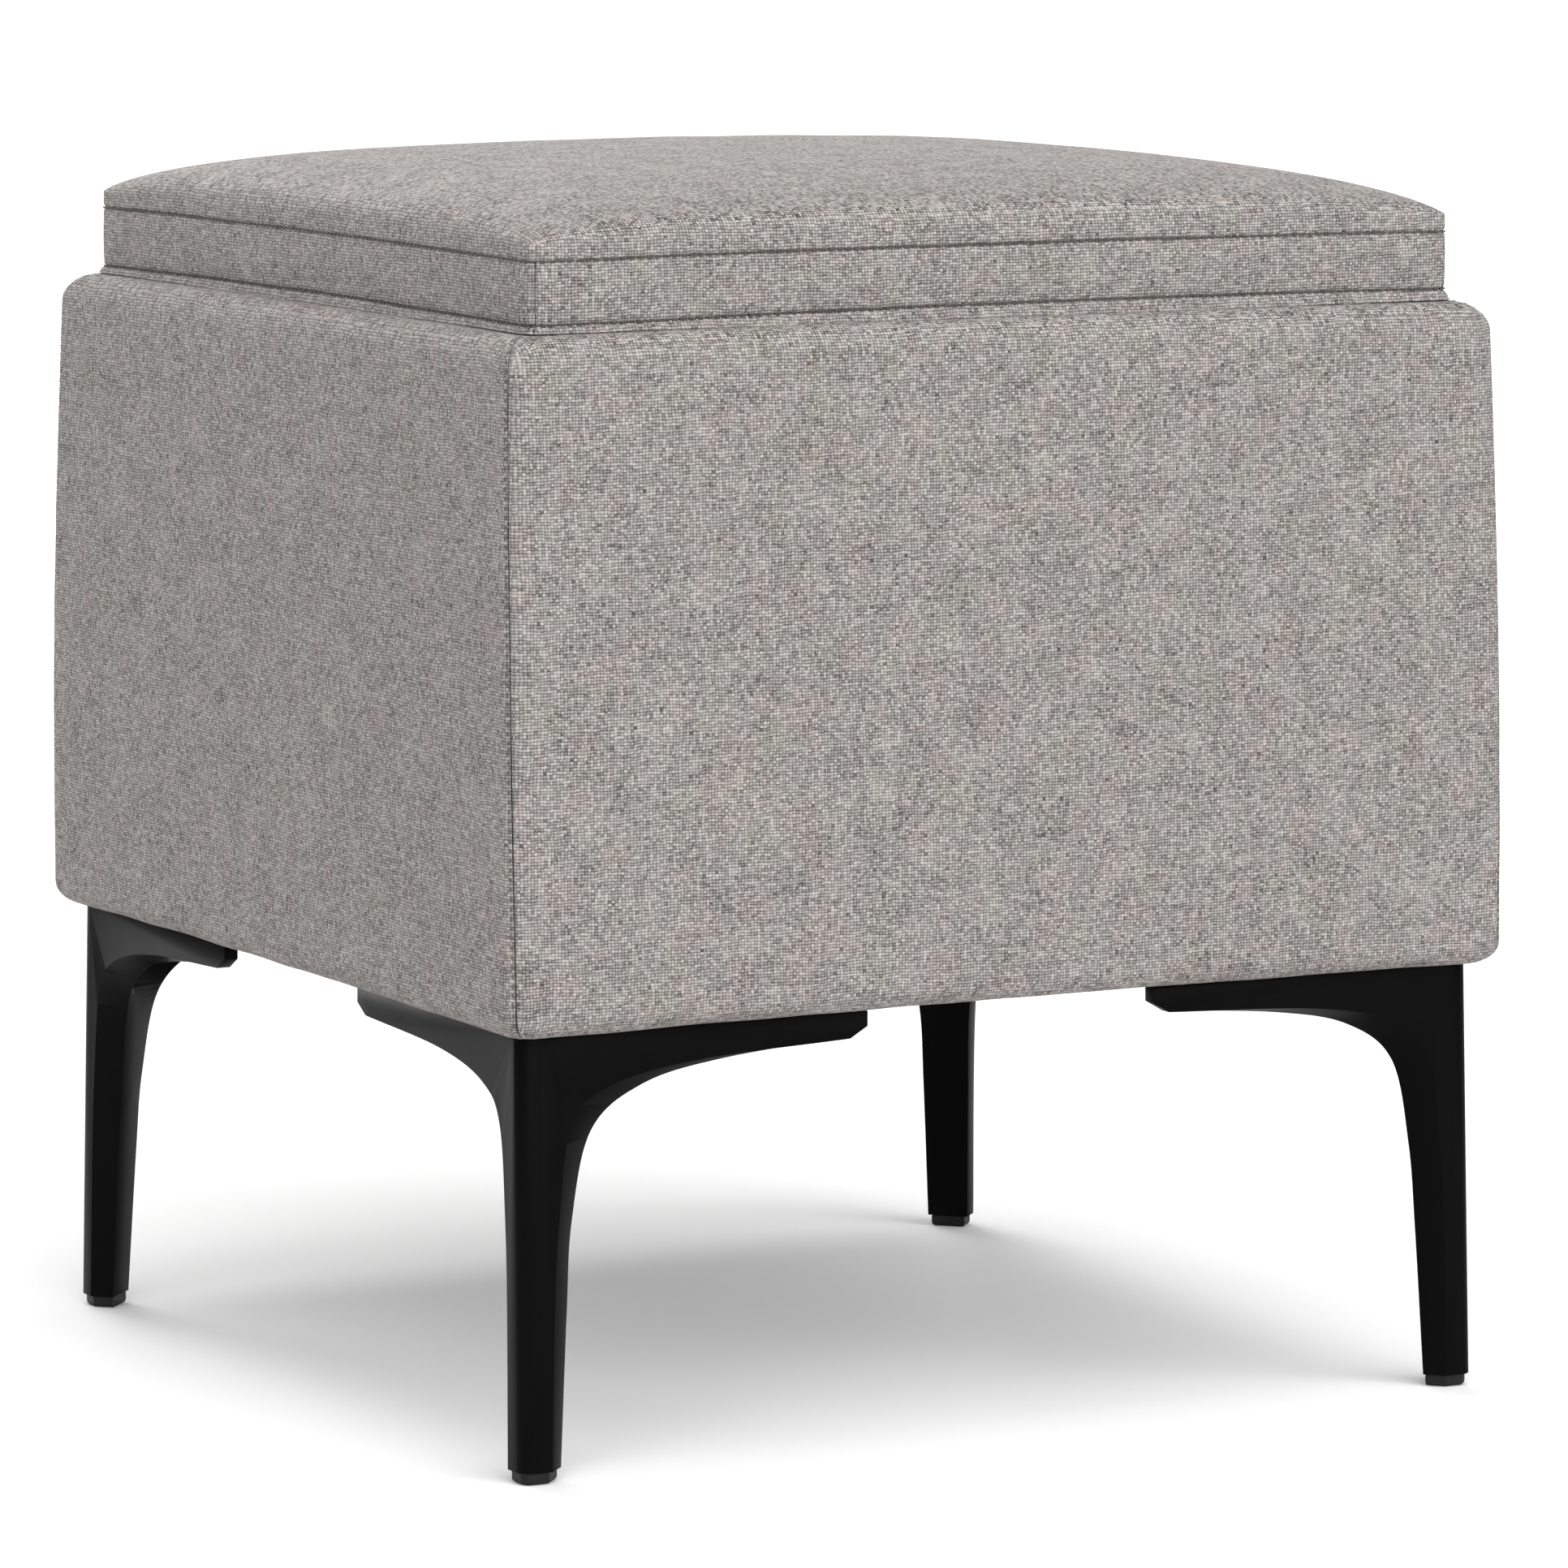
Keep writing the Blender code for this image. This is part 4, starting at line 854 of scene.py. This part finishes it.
def dome_ring(half, share, drop):
    points = []
    for p in seamed_ring(half * share, LID_CORNER_R * share, LID_SEAM_ANGLE, 0.0):
        height = crown_height(p.x, p.y, half) - drop
        calm = 1 - share ** 6
        height += calm * (0.00045 * soft((p.x, p.y, 0.0), 11, 6.0) + 0.00020 * soft((p.x, p.y, 0.0), 37, 1.0))
        points.append((p.x, p.y, height + seam_sway(p.x, p.y, height)))
    return points


def lid_top():
    """The crowned top panel: its edge turns in at the upper seam."""
    seam = UPPER_SEAM + GAP / 2
    edge = [(LID_HALF - GROOVE, seam), (LID_HALF - 0.0006, seam + 0.00010),
            (LID_HALF - 0.0002, seam + 0.0005), (LID_HALF, seam + 0.0011), (LID_HALF + 0.0001, seam + 0.0020)]
    outer = [lid_ring(half, z) for half, z in edge]
    outer += [dome_ring(LID_HALF, share, 0.0) for share in dome_shares()]
    inner = [dome_ring(LID_HALF - FABRIC, share, FABRIC) for share in dome_shares()]
    inner = inner[::-1] + [lid_ring(LID_HALF - FABRIC, seam + 0.0002, outer=False)]
    bm = bmesh.new()
    # The strip turned in at the seam, and the strip that closes the edge, take the darkened cloth: painted
    # seam shade.
    top = loft(bm, outer, inside=(0,), closed=False)
    under = loft(bm, inner, closed=False)
    bm.faces.new(top[-1])
    bm.faces.new(under[0])
    bridge(bm, under[-1], top[0], 1)
    panel = add_piece("lid_top_cover", bm, "upholstery", "lid", ("lid_top_panel",), CLOTH, 60)


def border_rings():
    """The border turns in at both seams and bulges a little between them."""
    low, high = LOWER_SEAM + GAP / 2, UPPER_SEAM - GAP / 2
    turned_in = ((GROOVE, 0.0), (0.0005, 0.00012), (0.0001, 0.0005))
    rings = [lid_ring(LID_HALF - inset, low + rise) for inset, rise in turned_in]
    for share in evenly(0.0, 1.0, 14)[1:-1]:
        bulge = BORDER_BULGE * math.sin(math.pi * share) ** 0.8
        rings.append(lid_ring(LID_HALF, low + (high - low) * share, bulge=bulge))
    return rings + [lid_ring(LID_HALF - inset, high - drop) for inset, drop in turned_in[::-1]]


def mark_seam_columns(bm, loops):
    """Gives the second material, the cloth with painted seam shade, to the faces inside a vertical seam."""
    columns = columns_in_seam()
    place = {v: c for loop in loops for c, v in enumerate(loop)}
    for face in bm.faces:
        cols = [place[v] for v in face.verts if v in place]
        if len(cols) == 4 and min(cols) in columns and max(cols) - min(cols) == 1:
            face.material_index = 1


def lid_border():
    rings = border_rings()
    count = len(rings)
    ends = (UPPER_SEAM - GAP / 2, LOWER_SEAM + GAP / 2)
    inner = [lid_ring(LID_HALF - FABRIC, z, outer=False) for z in ends]
    bm = bmesh.new()
    # The strips turned in at both seams take the darkened cloth: painted seam shade.
    loops = loft(bm, rings + inner, inside=(0, count - 2))
    mark_seam_columns(bm, loops[:count])
    border = add_piece("lid_border_strip", bm, "upholstery", "lid", ("lid_border",), CLOTH, 60)


def lid_band():
    """The lip that meets the rim, turned in under the board, with a notch for each hinge."""
    seam = LOWER_SEAM - GAP / 2
    flange_low, flange_high, flange_end = 0.4095, BOARD_LOW - GAP, 0.160
    flare = LID_HALF + LIP_FLARE
    outer = [(LID_HALF - GROOVE, seam), (LID_HALF - 0.0005, seam - 0.00012), (LID_HALF, seam - 0.0005),
             (LID_HALF + 0.0005, seam - 0.0012), (LID_HALF + 0.0010, seam - 0.0021),
             (flare, RIM_TOP + 0.0007), (flare + 0.0004, RIM_TOP + 0.0002),
             (flare + 0.0004, RIM_TOP + 0.00005), (LID_HALF - 0.0010, RIM_TOP + 0.0001)]
    hidden = [(0.1848, LIP_BOTTOM), (0.1815, 0.4062), (0.1803, 0.4078), (0.1800, flange_low),
              (flange_end, flange_low), (flange_end, flange_high), (BOARD_HALF, flange_high),
              (BOARD_HALF, seam)]
    rings = [lid_ring(half, z) for half, z in outer]
    for half, z in hidden:
        rings.append(lid_ring(half, z, LID_CORNER_R if half > 0.1845 else 0.005, outer=False))
    bm = bmesh.new()
    # The two strips at the lower seam take the darkened cloth: painted seam shade.
    loops = loft(bm, rings, inside=(0, len(rings) - 1))
    mark_seam_columns(bm, loops[:7])
    band = add_piece("lid_lip", bm, "upholstery", "lid", ("lid_lower_band",), CLOTH, 60)
    notch = bmesh.new()
    for sign in (-1, 1):
        add_box(notch, (sign * HINGE_X - HINGE_NOTCH, 0.150, LIP_BOTTOM - 0.002),
                (sign * HINGE_X + HINGE_NOTCH, 0.200, 0.4087))
    cut(band, cutter("hinge_notches", notch))


def seam_stitches(name, height):
    """Thick thread lying in a horizontal seam all round the lid, in slightly slanting stitches."""
    size = (0.0029, 0.00072, 0.0006)
    rng = random.Random(name)
    ring = [Vector(p) for p in lid_ring(LID_HALF, height)]
    bm = bmesh.new()
    travelled, due = 0.0, 0.0
    for a, b in zip(ring, ring[1:] + ring[:1]):
        length = (b - a).length
        while due <= travelled + length:
            centre = a.lerp(b, (due - travelled) / length)
            out = (b - a).cross(Vector((0, 0, 1))).normalized()
            along = (b - a).normalized() + Vector((0, 0, rng.uniform(0.02, 0.10)))
            add_stitch(bm, centre + out * STITCH_PROUD, out, along, *size)
            due += STITCH_PITCH * rng.uniform(0.95, 1.05)
        travelled += length
    add_piece(name, bm, "upholstery", "lid", materials=("lid_thread",))


# ---------------------------------------------------------------- linings and dust cover
def hemmed_sheet(name, node, slot, body, sag, hem):
    """A thin sheet with a folded hem round it; sag(x, y) moves its middle."""
    low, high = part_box(node)
    steps = 40
    bm = bmesh.new()

    def vert(x, y, z):
        inset = min(high.x - abs(x), high.y - abs(y))
        return bm.verts.new((x, y, z + clamp((inset - hem) / 0.02) * sag(x, y)))

    layers = []
    for z in (low.z, high.z):
        columns = evenly(low.x, high.x, steps)
        layers.append([[vert(x, y, z) for y in evenly(low.y, high.y, steps)] for x in columns])
    for grid in layers:
        for i in range(steps):
            for j in range(steps):
                bm.faces.new((grid[i][j], grid[i + 1][j], grid[i + 1][j + 1], grid[i][j + 1]))
    rims = []
    for grid in layers:
        rim = [grid[i][0] for i in range(steps)] + [grid[steps][j] for j in range(steps)]
        rim += [grid[i][steps] for i in range(steps, 0, -1)] + [grid[0][j] for j in range(steps, 0, -1)]
        rims.append(rim)
    bridge(bm, *rims)
    sheet = add_piece(name, bm, slot, body, (node,))
    return sheet, low, high


def staples(name, half, height, body, pitch=0.042):
    """Wire staples round the edge of a sheet, lying below it."""
    wire, span, drop = 0.0007, 0.0105, 0.0005
    count = int(2 * (half - 0.012) / pitch)
    rng = random.Random(name)
    bm = bmesh.new()
    for quarter in range(4):
        for k in range(count + 1):
            across = -half + 0.014 + (2 * half - 0.028) * k / count
            tilt = Matrix.Rotation(math.radians(rng.uniform(-9, 9)), 4, "Z")
            shift = Matrix.Translation((across + rng.uniform(-0.002, 0.002), half, height))
            place = turned(quarter, 4) @ shift @ tilt
            start = len(bm.verts)
            add_box(bm, (-span / 2, -wire / 2, -drop), (span / 2, wire / 2, 0.0))
            bm.verts.ensure_lookup_table()
            bmesh.ops.transform(bm, matrix=place, verts=bm.verts[start:])
    obj = add_piece(name, bm, "zinc_steel", body)
    round_edges(obj, 0.0002, 2)


def storage_lining():
    """Lining glued inside the walls, with slight ripples and a turned top edge."""
    low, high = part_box("wall_lining")
    outer = high.x
    inner = outer - 0.0010

    def ring(half, z, rippled):
        points = []
        for p in square_ring(half, 0.0022, same_columns(0, 30, 60, 90), 60):
            scale = 1.0
            if rippled:
                place = (p.x, p.y, z * 0.35)
                shift = 0.00028 * (soft(place, 40, 2.0) + 0.6 * soft(place, 95, 5.0))
                scale += (shift + 0.0001) / half
            points.append((p.x * scale, p.y * scale, z))
        return points

    bm = bmesh.new()
    inside = [ring(inner, z, True) for z in evenly(low.z, high.z, 30)]
    outside = [ring(outer, z, False) for z in (high.z, low.z)]
    loft(bm, inside + outside)
    lining = add_piece("storage_lining", bm, "lining", "box", ("wall_lining",))


def storage_floor():
    """Lining cloth wrapped round a loose board."""
    low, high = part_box("floor_panel")
    columns = same_columns(0, 22, 45, 68, 90)
    profile = [(high.x - 0.0012, low.z), (high.x - 0.0003, low.z + 0.0003), (high.x, low.z + 0.0011),
               (high.x, high.z - 0.0012), (high.x - 0.0004, high.z - 0.0004), (high.x - 0.0013, high.z)]
    rings = [[(*p, z) for p in square_ring(half, 0.003, columns, 40)] for half, z in profile]
    steps = 24
    for k in range(1, steps):
        share = 1 - k / steps
        half = 0.0015 + (high.x - 0.0028) * share
        ring = []
        for p in square_ring(half, min(0.003, half * 0.5), columns, 40):
            ripple = 0.00025 * (1 - share ** 8) * (soft((p.x, p.y, 0), 20, 3.0) - 0.6)
            ring.append((p.x, p.y, high.z + ripple))
        rings.append(ring)
    bm = bmesh.new()
    loops = loft(bm, rings, closed=False)
    bm.faces.new(loops[0])
    bm.faces.new(loops[-1])
    floor = add_piece("storage_floor", bm, "lining", "box", ("floor_panel",))


def under_sheets():
    def sag(x, y):
        return 0.00008 * soft((x, y, 0.0), 30, 4.0)

    dust, low, high = hemmed_sheet("dust_cover_sheet", "dust_cover", "dust_cover", "box", sag, 0.02)
    for bolt in bolt_places():
        hole = bmesh.new()
        add_lathe(hole, [(0.0, low.z - 0.002), (BOLT_HOLE_R, low.z - 0.002), (BOLT_HOLE_R, high.z + 0.002),
                         (0.0, high.z + 0.002)], Matrix.Translation(bolt))
        cut(dust, cutter("dust_cover_hole", hole))
    staples("dust_cover_staples", high.x - 0.012, low.z, "box")
    lining, low, high = hemmed_sheet("lid_underside_lining", "lid_lining", "lining", "lid", sag, 0.012)
    staples("lid_lining_staples", high.x - 0.006, low.z, "lid", 0.036)


# ---------------------------------------------------------------- legs
def curve_through(points, steps):
    """A smooth Catmull-Rom curve through the points."""
    points = [Vector(p) for p in points]
    padded = [2 * points[0] - points[1]] + points + [2 * points[-1] - points[-2]]
    result = []
    for i in range(1, len(padded) - 2):
        p0, p1, p2, p3 = padded[i - 1:i + 3]
        for k in range(steps):
            t = k / steps
            result.append(0.5 * (2 * p1 + (p2 - p0) * t + (2 * p0 - 5 * p1 + 4 * p2 - p3) * t ** 2
                                 + (3 * p1 - p0 - 3 * p2 + p3) * t ** 3))
    result.append(points[-1])
    return result


def inner_spine():
    """The spine turns a sharp corner where the hollow meets the wing's top."""
    hollow = curve_through(INNER_SPINE[:HOLLOW_POINTS], ARCH_STEPS)
    corner = Vector((WING, WING, LEG_TOP))
    shares = evenly(0, 1, ARCH_STEPS)[1:]
    rise = [hollow[-1].lerp(corner, share) for share in shares]
    wing = [corner.lerp(Vector(INNER_SPINE[-1]), share) for share in shares]
    return hollow + rise + wing


def add_leg_half(bm, swap):
    """One wing and half of the post; swap mirrors it across the leg's diagonal."""
    def vert(u, v, z):
        lean = LEG_LEAN * (z - LEG_BOTTOM) / (LEG_TOP - LEG_BOTTOM)
        return bm.verts.new((v + lean, u + lean, z) if swap else (u + lean, v + lean, z))

    outer = [vert(p.x, 0.0, p.y) for p in curve_through(OUTER_ARCH, ARCH_STEPS)]
    inner = [vert(*p) for p in curve_through(INNER_ARCH, ARCH_STEPS)]
    spine = [vert(*p) for p in inner_spine()]
    tip_out = [vert(WING_TIP[0], 0.0, WING_TIP[1]), vert(WING_TIP[0], 0.0, LEG_TOP)]
    tip_in = [vert(WING_TIP[0], WING, WING_TIP[1]), vert(WING_TIP[0], WING, LEG_TOP)]
    corner = [vert(radius, 0.0, z) for radius, z in zip(LEG_CORNER_R, (LEG_BOTTOM, LEG_TOP))]
    bm.faces.new(outer + tip_out + corner[::-1])
    for i in range(len(outer) - 1):
        bm.faces.new((outer[i], outer[i + 1], inner[i + 1], inner[i]))
        bm.faces.new((inner[i], inner[i + 1], spine[i + 1], spine[i]))
    bm.faces.new((outer[-1], tip_out[0], tip_in[0], inner[-1]))
    bm.faces.new((tip_out[0], tip_out[1], tip_in[1], tip_in[0]))
    bm.faces.new((inner[-1], tip_in[0], tip_in[1], spine[-1]))
    return outer, inner, spine, tip_out, tip_in


def leg_mesh():
    """A leg with its corner at the origin and its wings along +X and +Y."""
    bm = bmesh.new()
    (outer, inner, spine, tip_out, tip_in), mirror = (add_leg_half(bm, swap) for swap in (False, True))
    outer_m, inner_m, spine_m, tip_out_m, tip_in_m = mirror
    arcs = []
    for radius, z, lean in zip(LEG_CORNER_R, (LEG_BOTTOM, LEG_TOP), (0.0, LEG_LEAN)):
        points = arc((radius + lean, radius + lean), radius, 270, 180, CORNER_STEPS)
        arcs.append([bm.verts.new((x, y, z)) for x, y in points])
    for i in range(CORNER_STEPS):
        bm.faces.new((arcs[0][i], arcs[0][i + 1], arcs[1][i + 1], arcs[1][i]))
    bm.faces.new(arcs[0] + [outer_m[0], inner_m[0], spine[0], inner[0], outer[0]])
    corner_top = ARCH_STEPS * HOLLOW_POINTS
    wing_top = spine[corner_top:] + [tip_in[1], tip_out[1]]
    wing_top_m = [tip_out_m[1], tip_in_m[1]] + spine_m[corner_top + 1:][::-1]
    bm.faces.new(wing_top + arcs[1] + wing_top_m)
    return bm


def to_corner(sx, sy):
    return Matrix.Translation((sx * LEG_CORNER, sy * LEG_CORNER, 0)) @ Matrix.Diagonal((-sx, -sy, 1, 1))


def bolt_places():
    return [to_corner(sx, sy) @ Vector((u, v, 0)) for _, sx, sy in LEG_PLACES for u, v in BOLTS]


def legs():
    for place, sx, sy in LEG_PLACES:
        bm = leg_mesh()
        bm.transform(to_corner(sx, sy))
        leg = add_piece("leg_casting_" + place, bm, "leg_metal", "box", ("leg_" + place,))
        round_edges(leg, 0.0007)
        plate = bmesh.new()
        hidden = WING / 2
        bow = arc((PLATE_REACH, PLATE_REACH), PLATE_REACH - hidden - 0.006, 185, 265, 16)
        outline = [(hidden, hidden), (PLATE_REACH, hidden)] + bow[::-1] + [(hidden, PLATE_REACH)]
        add_prism(plate, outline, *PLATE_Z)
        plate.transform(to_corner(sx, sy) @ Matrix.Translation((LEG_LEAN, LEG_LEAN, 0)))
        cut(leg, cutter("gusset", plate), "UNION")
        holes = bmesh.new()
        for u, v in BOLTS:
            centre = to_corner(sx, sy) @ Vector((u, v, 0))
            add_lathe(holes, [(0.0, 0.150), (BOLT_HOLE_R, 0.150), (BOLT_HOLE_R, 0.170), (0.0, 0.170)],
                      Matrix.Translation(centre))
        cut(leg, cutter("bolt_holes", holes))
        smooth(leg, 38)
        glide(place, sx, sy)


def foot_outline(inset):
    """The post's five-sided foot, drawn in by inset."""
    outline = arc((LEG_CORNER_R[0], LEG_CORNER_R[0]), LEG_CORNER_R[0] - inset, 270, 180, 8)
    near, far = OUTER_ARCH[0][0], INNER_ARCH[0]
    slant = inset * math.tan(math.radians(22.5))
    outline += [(inset, near - slant), (far[1] + slant, far[0] - inset), (far[0] - inset, far[1] + slant),
                (near - slant, inset)]
    return outline


def glide(place, sx, sy):
    """Plastic glide pressed into the foot, with a rounded lower edge."""
    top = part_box("glide_" + place)[1].z
    rise = 0.0016
    levels = [(0.0014 + rise * (1 - math.sin(math.radians(a))), rise * (1 - math.cos(math.radians(a))))
              for a in (0, 30, 60, 90)]
    levels.append((0.0014, top))
    bm = bmesh.new()
    loops = loft(bm, [[(x, y, z) for x, y in foot_outline(inset)] for inset, z in levels], closed=False)
    bm.faces.new(loops[0])
    bm.faces.new(loops[-1])
    bm.transform(to_corner(sx, sy))
    add_piece("foot_glide_" + place, bm, "black_plastic", "box", ("glide_" + place,), sharp=30)


def leg_bolts():
    """Button-head bolts with washers under the gusset plates; each head has a round socket."""
    bm = bmesh.new()
    washer = [(0.0, -0.0009), (0.0072, -0.0009), (0.0075, -0.0006), (0.0075, -0.0001), (0.0, -0.0001)]
    head = [(0.0, -0.0016), (0.0021, -0.0016), (0.0023, -0.0033), (0.0034, -0.0034), (0.0049, -0.0026),
            (0.0056, -0.0015), (0.0056, -0.0009), (0.0, -0.0009)]
    for centre in bolt_places():
        matrix = Matrix.Translation((centre.x, centre.y, PLATE_Z[0]))
        add_lathe(bm, washer, matrix, 28)
        add_lathe(bm, head, matrix, 30)
    add_piece("leg_bolts", bm, "zinc_steel", "box", sharp=35)


# ---------------------------------------------------------------- stay screws
def add_screw(bm, place):
    """A pan-head screw, its head's seat at the origin and its shank along -Z."""
    head = [(0.0, -0.0003), (0.0034, -0.0003), (0.0034, 0.0003), (0.0029, 0.0010), (0.0016, 0.0014),
            (0.0, 0.0014)]
    shank = [(0.0, -SCREW_LENGTH), (0.0010, -SCREW_LENGTH + 0.002), (0.0016, -SCREW_LENGTH + 0.003),
             (0.0016, -0.0003), (0.0, -0.0003)]
    add_lathe(bm, head, place, 20)
    add_lathe(bm, shank, place, 12)


def stay_screws():
    """Two screws hold each stay bracket to its wall or to the lid board."""
    walls, lid = bmesh.new(), bmesh.new()
    for sign in (-1, 1):
        inward = Matrix.Rotation(math.radians(-90 * sign), 4, "Y")
        for y, z in WALL_SCREWS:
            add_screw(walls, Matrix.Translation((sign * WALL_SCREW_X, y, z)) @ inward)
        downward = Matrix.Rotation(math.radians(180), 4, "X")
        for y in LID_SCREWS:
            add_screw(lid, Matrix.Translation((sign * LID_SCREW_X, y, LID_SCREW_Z)) @ downward)
    add_piece("stay_wall_screws", walls, "zinc_steel", "box", sharp=35)
    add_piece("stay_lid_screws", lid, "zinc_steel", "lid", sharp=35)


# ---------------------------------------------------------------- camera, light and floor
def camera():
    back = Vector((-0.4639, -0.8769, 0.1259)).normalized()
    data = bpy.data.cameras.new("camera")
    data.lens = 194.1
    data.sensor_width = 36.0
    data.clip_end = 50.0
    obj = bpy.data.objects.new("camera", data)
    obj.location = (-1.4801, -2.8184, 0.6196)
    obj.rotation_mode = "QUATERNION"
    obj.rotation_quaternion = back.to_track_quat("Z", "Y")
    bpy.context.scene.collection.objects.link(obj)
    bpy.context.scene.camera = obj


def sun(name, around, height, strength, spread):
    """A wide soft light from far off; around counts from +X, height from the floor, in degrees."""
    turn, rise = math.radians(around), math.radians(height)
    towards = Vector((math.cos(turn) * math.cos(rise), math.sin(turn) * math.cos(rise), math.sin(rise)))
    data = bpy.data.lights.new(name, "SUN")
    data.energy = strength
    data.angle = math.radians(spread)
    obj = bpy.data.objects.new(name, data)
    obj.rotation_mode = "QUATERNION"
    obj.rotation_quaternion = towards.to_track_quat("Z", "Y")
    bpy.context.scene.collection.objects.link(obj)


def studio():
    world = bpy.data.worlds.new("white_room")
    world.use_nodes = True
    world.node_tree.nodes["Background"].inputs["Color"].default_value = rgb(1.0, 1.0, 1.0)
    world.node_tree.nodes["Background"].inputs["Strength"].default_value = 0.20
    bpy.context.scene.world = world
    sun("key", 265, 38, 4.15, 88)
    sun("overhead", 90, 88, 1.15, 34)
    sun("behind", 88, 8, 5.5, 48)
    bpy.context.scene.view_settings.view_transform = "Standard"
    bpy.context.scene.view_settings.look = "None"
    bm = bmesh.new()
    bmesh.ops.create_circle(bm, cap_ends=True, segments=64, radius=60.0)
    floor = to_object("floor", bm)
    n = Nodes("white_floor", 0.9, specular=0.0)
    n.set("Base Color", rgb(0.80, 0.80, 0.80))
    floor.data.materials.append(n.material)


camera()
studio()
finish_cad_nodes()
box_cover()
lid_top()
lid_border()
lid_band()
seam_stitches("upper_seam_stitches", UPPER_SEAM)
seam_stitches("lower_seam_stitches", LOWER_SEAM)
storage_lining()
storage_floor()
under_sheets()
legs()
leg_bolts()
stay_screws()
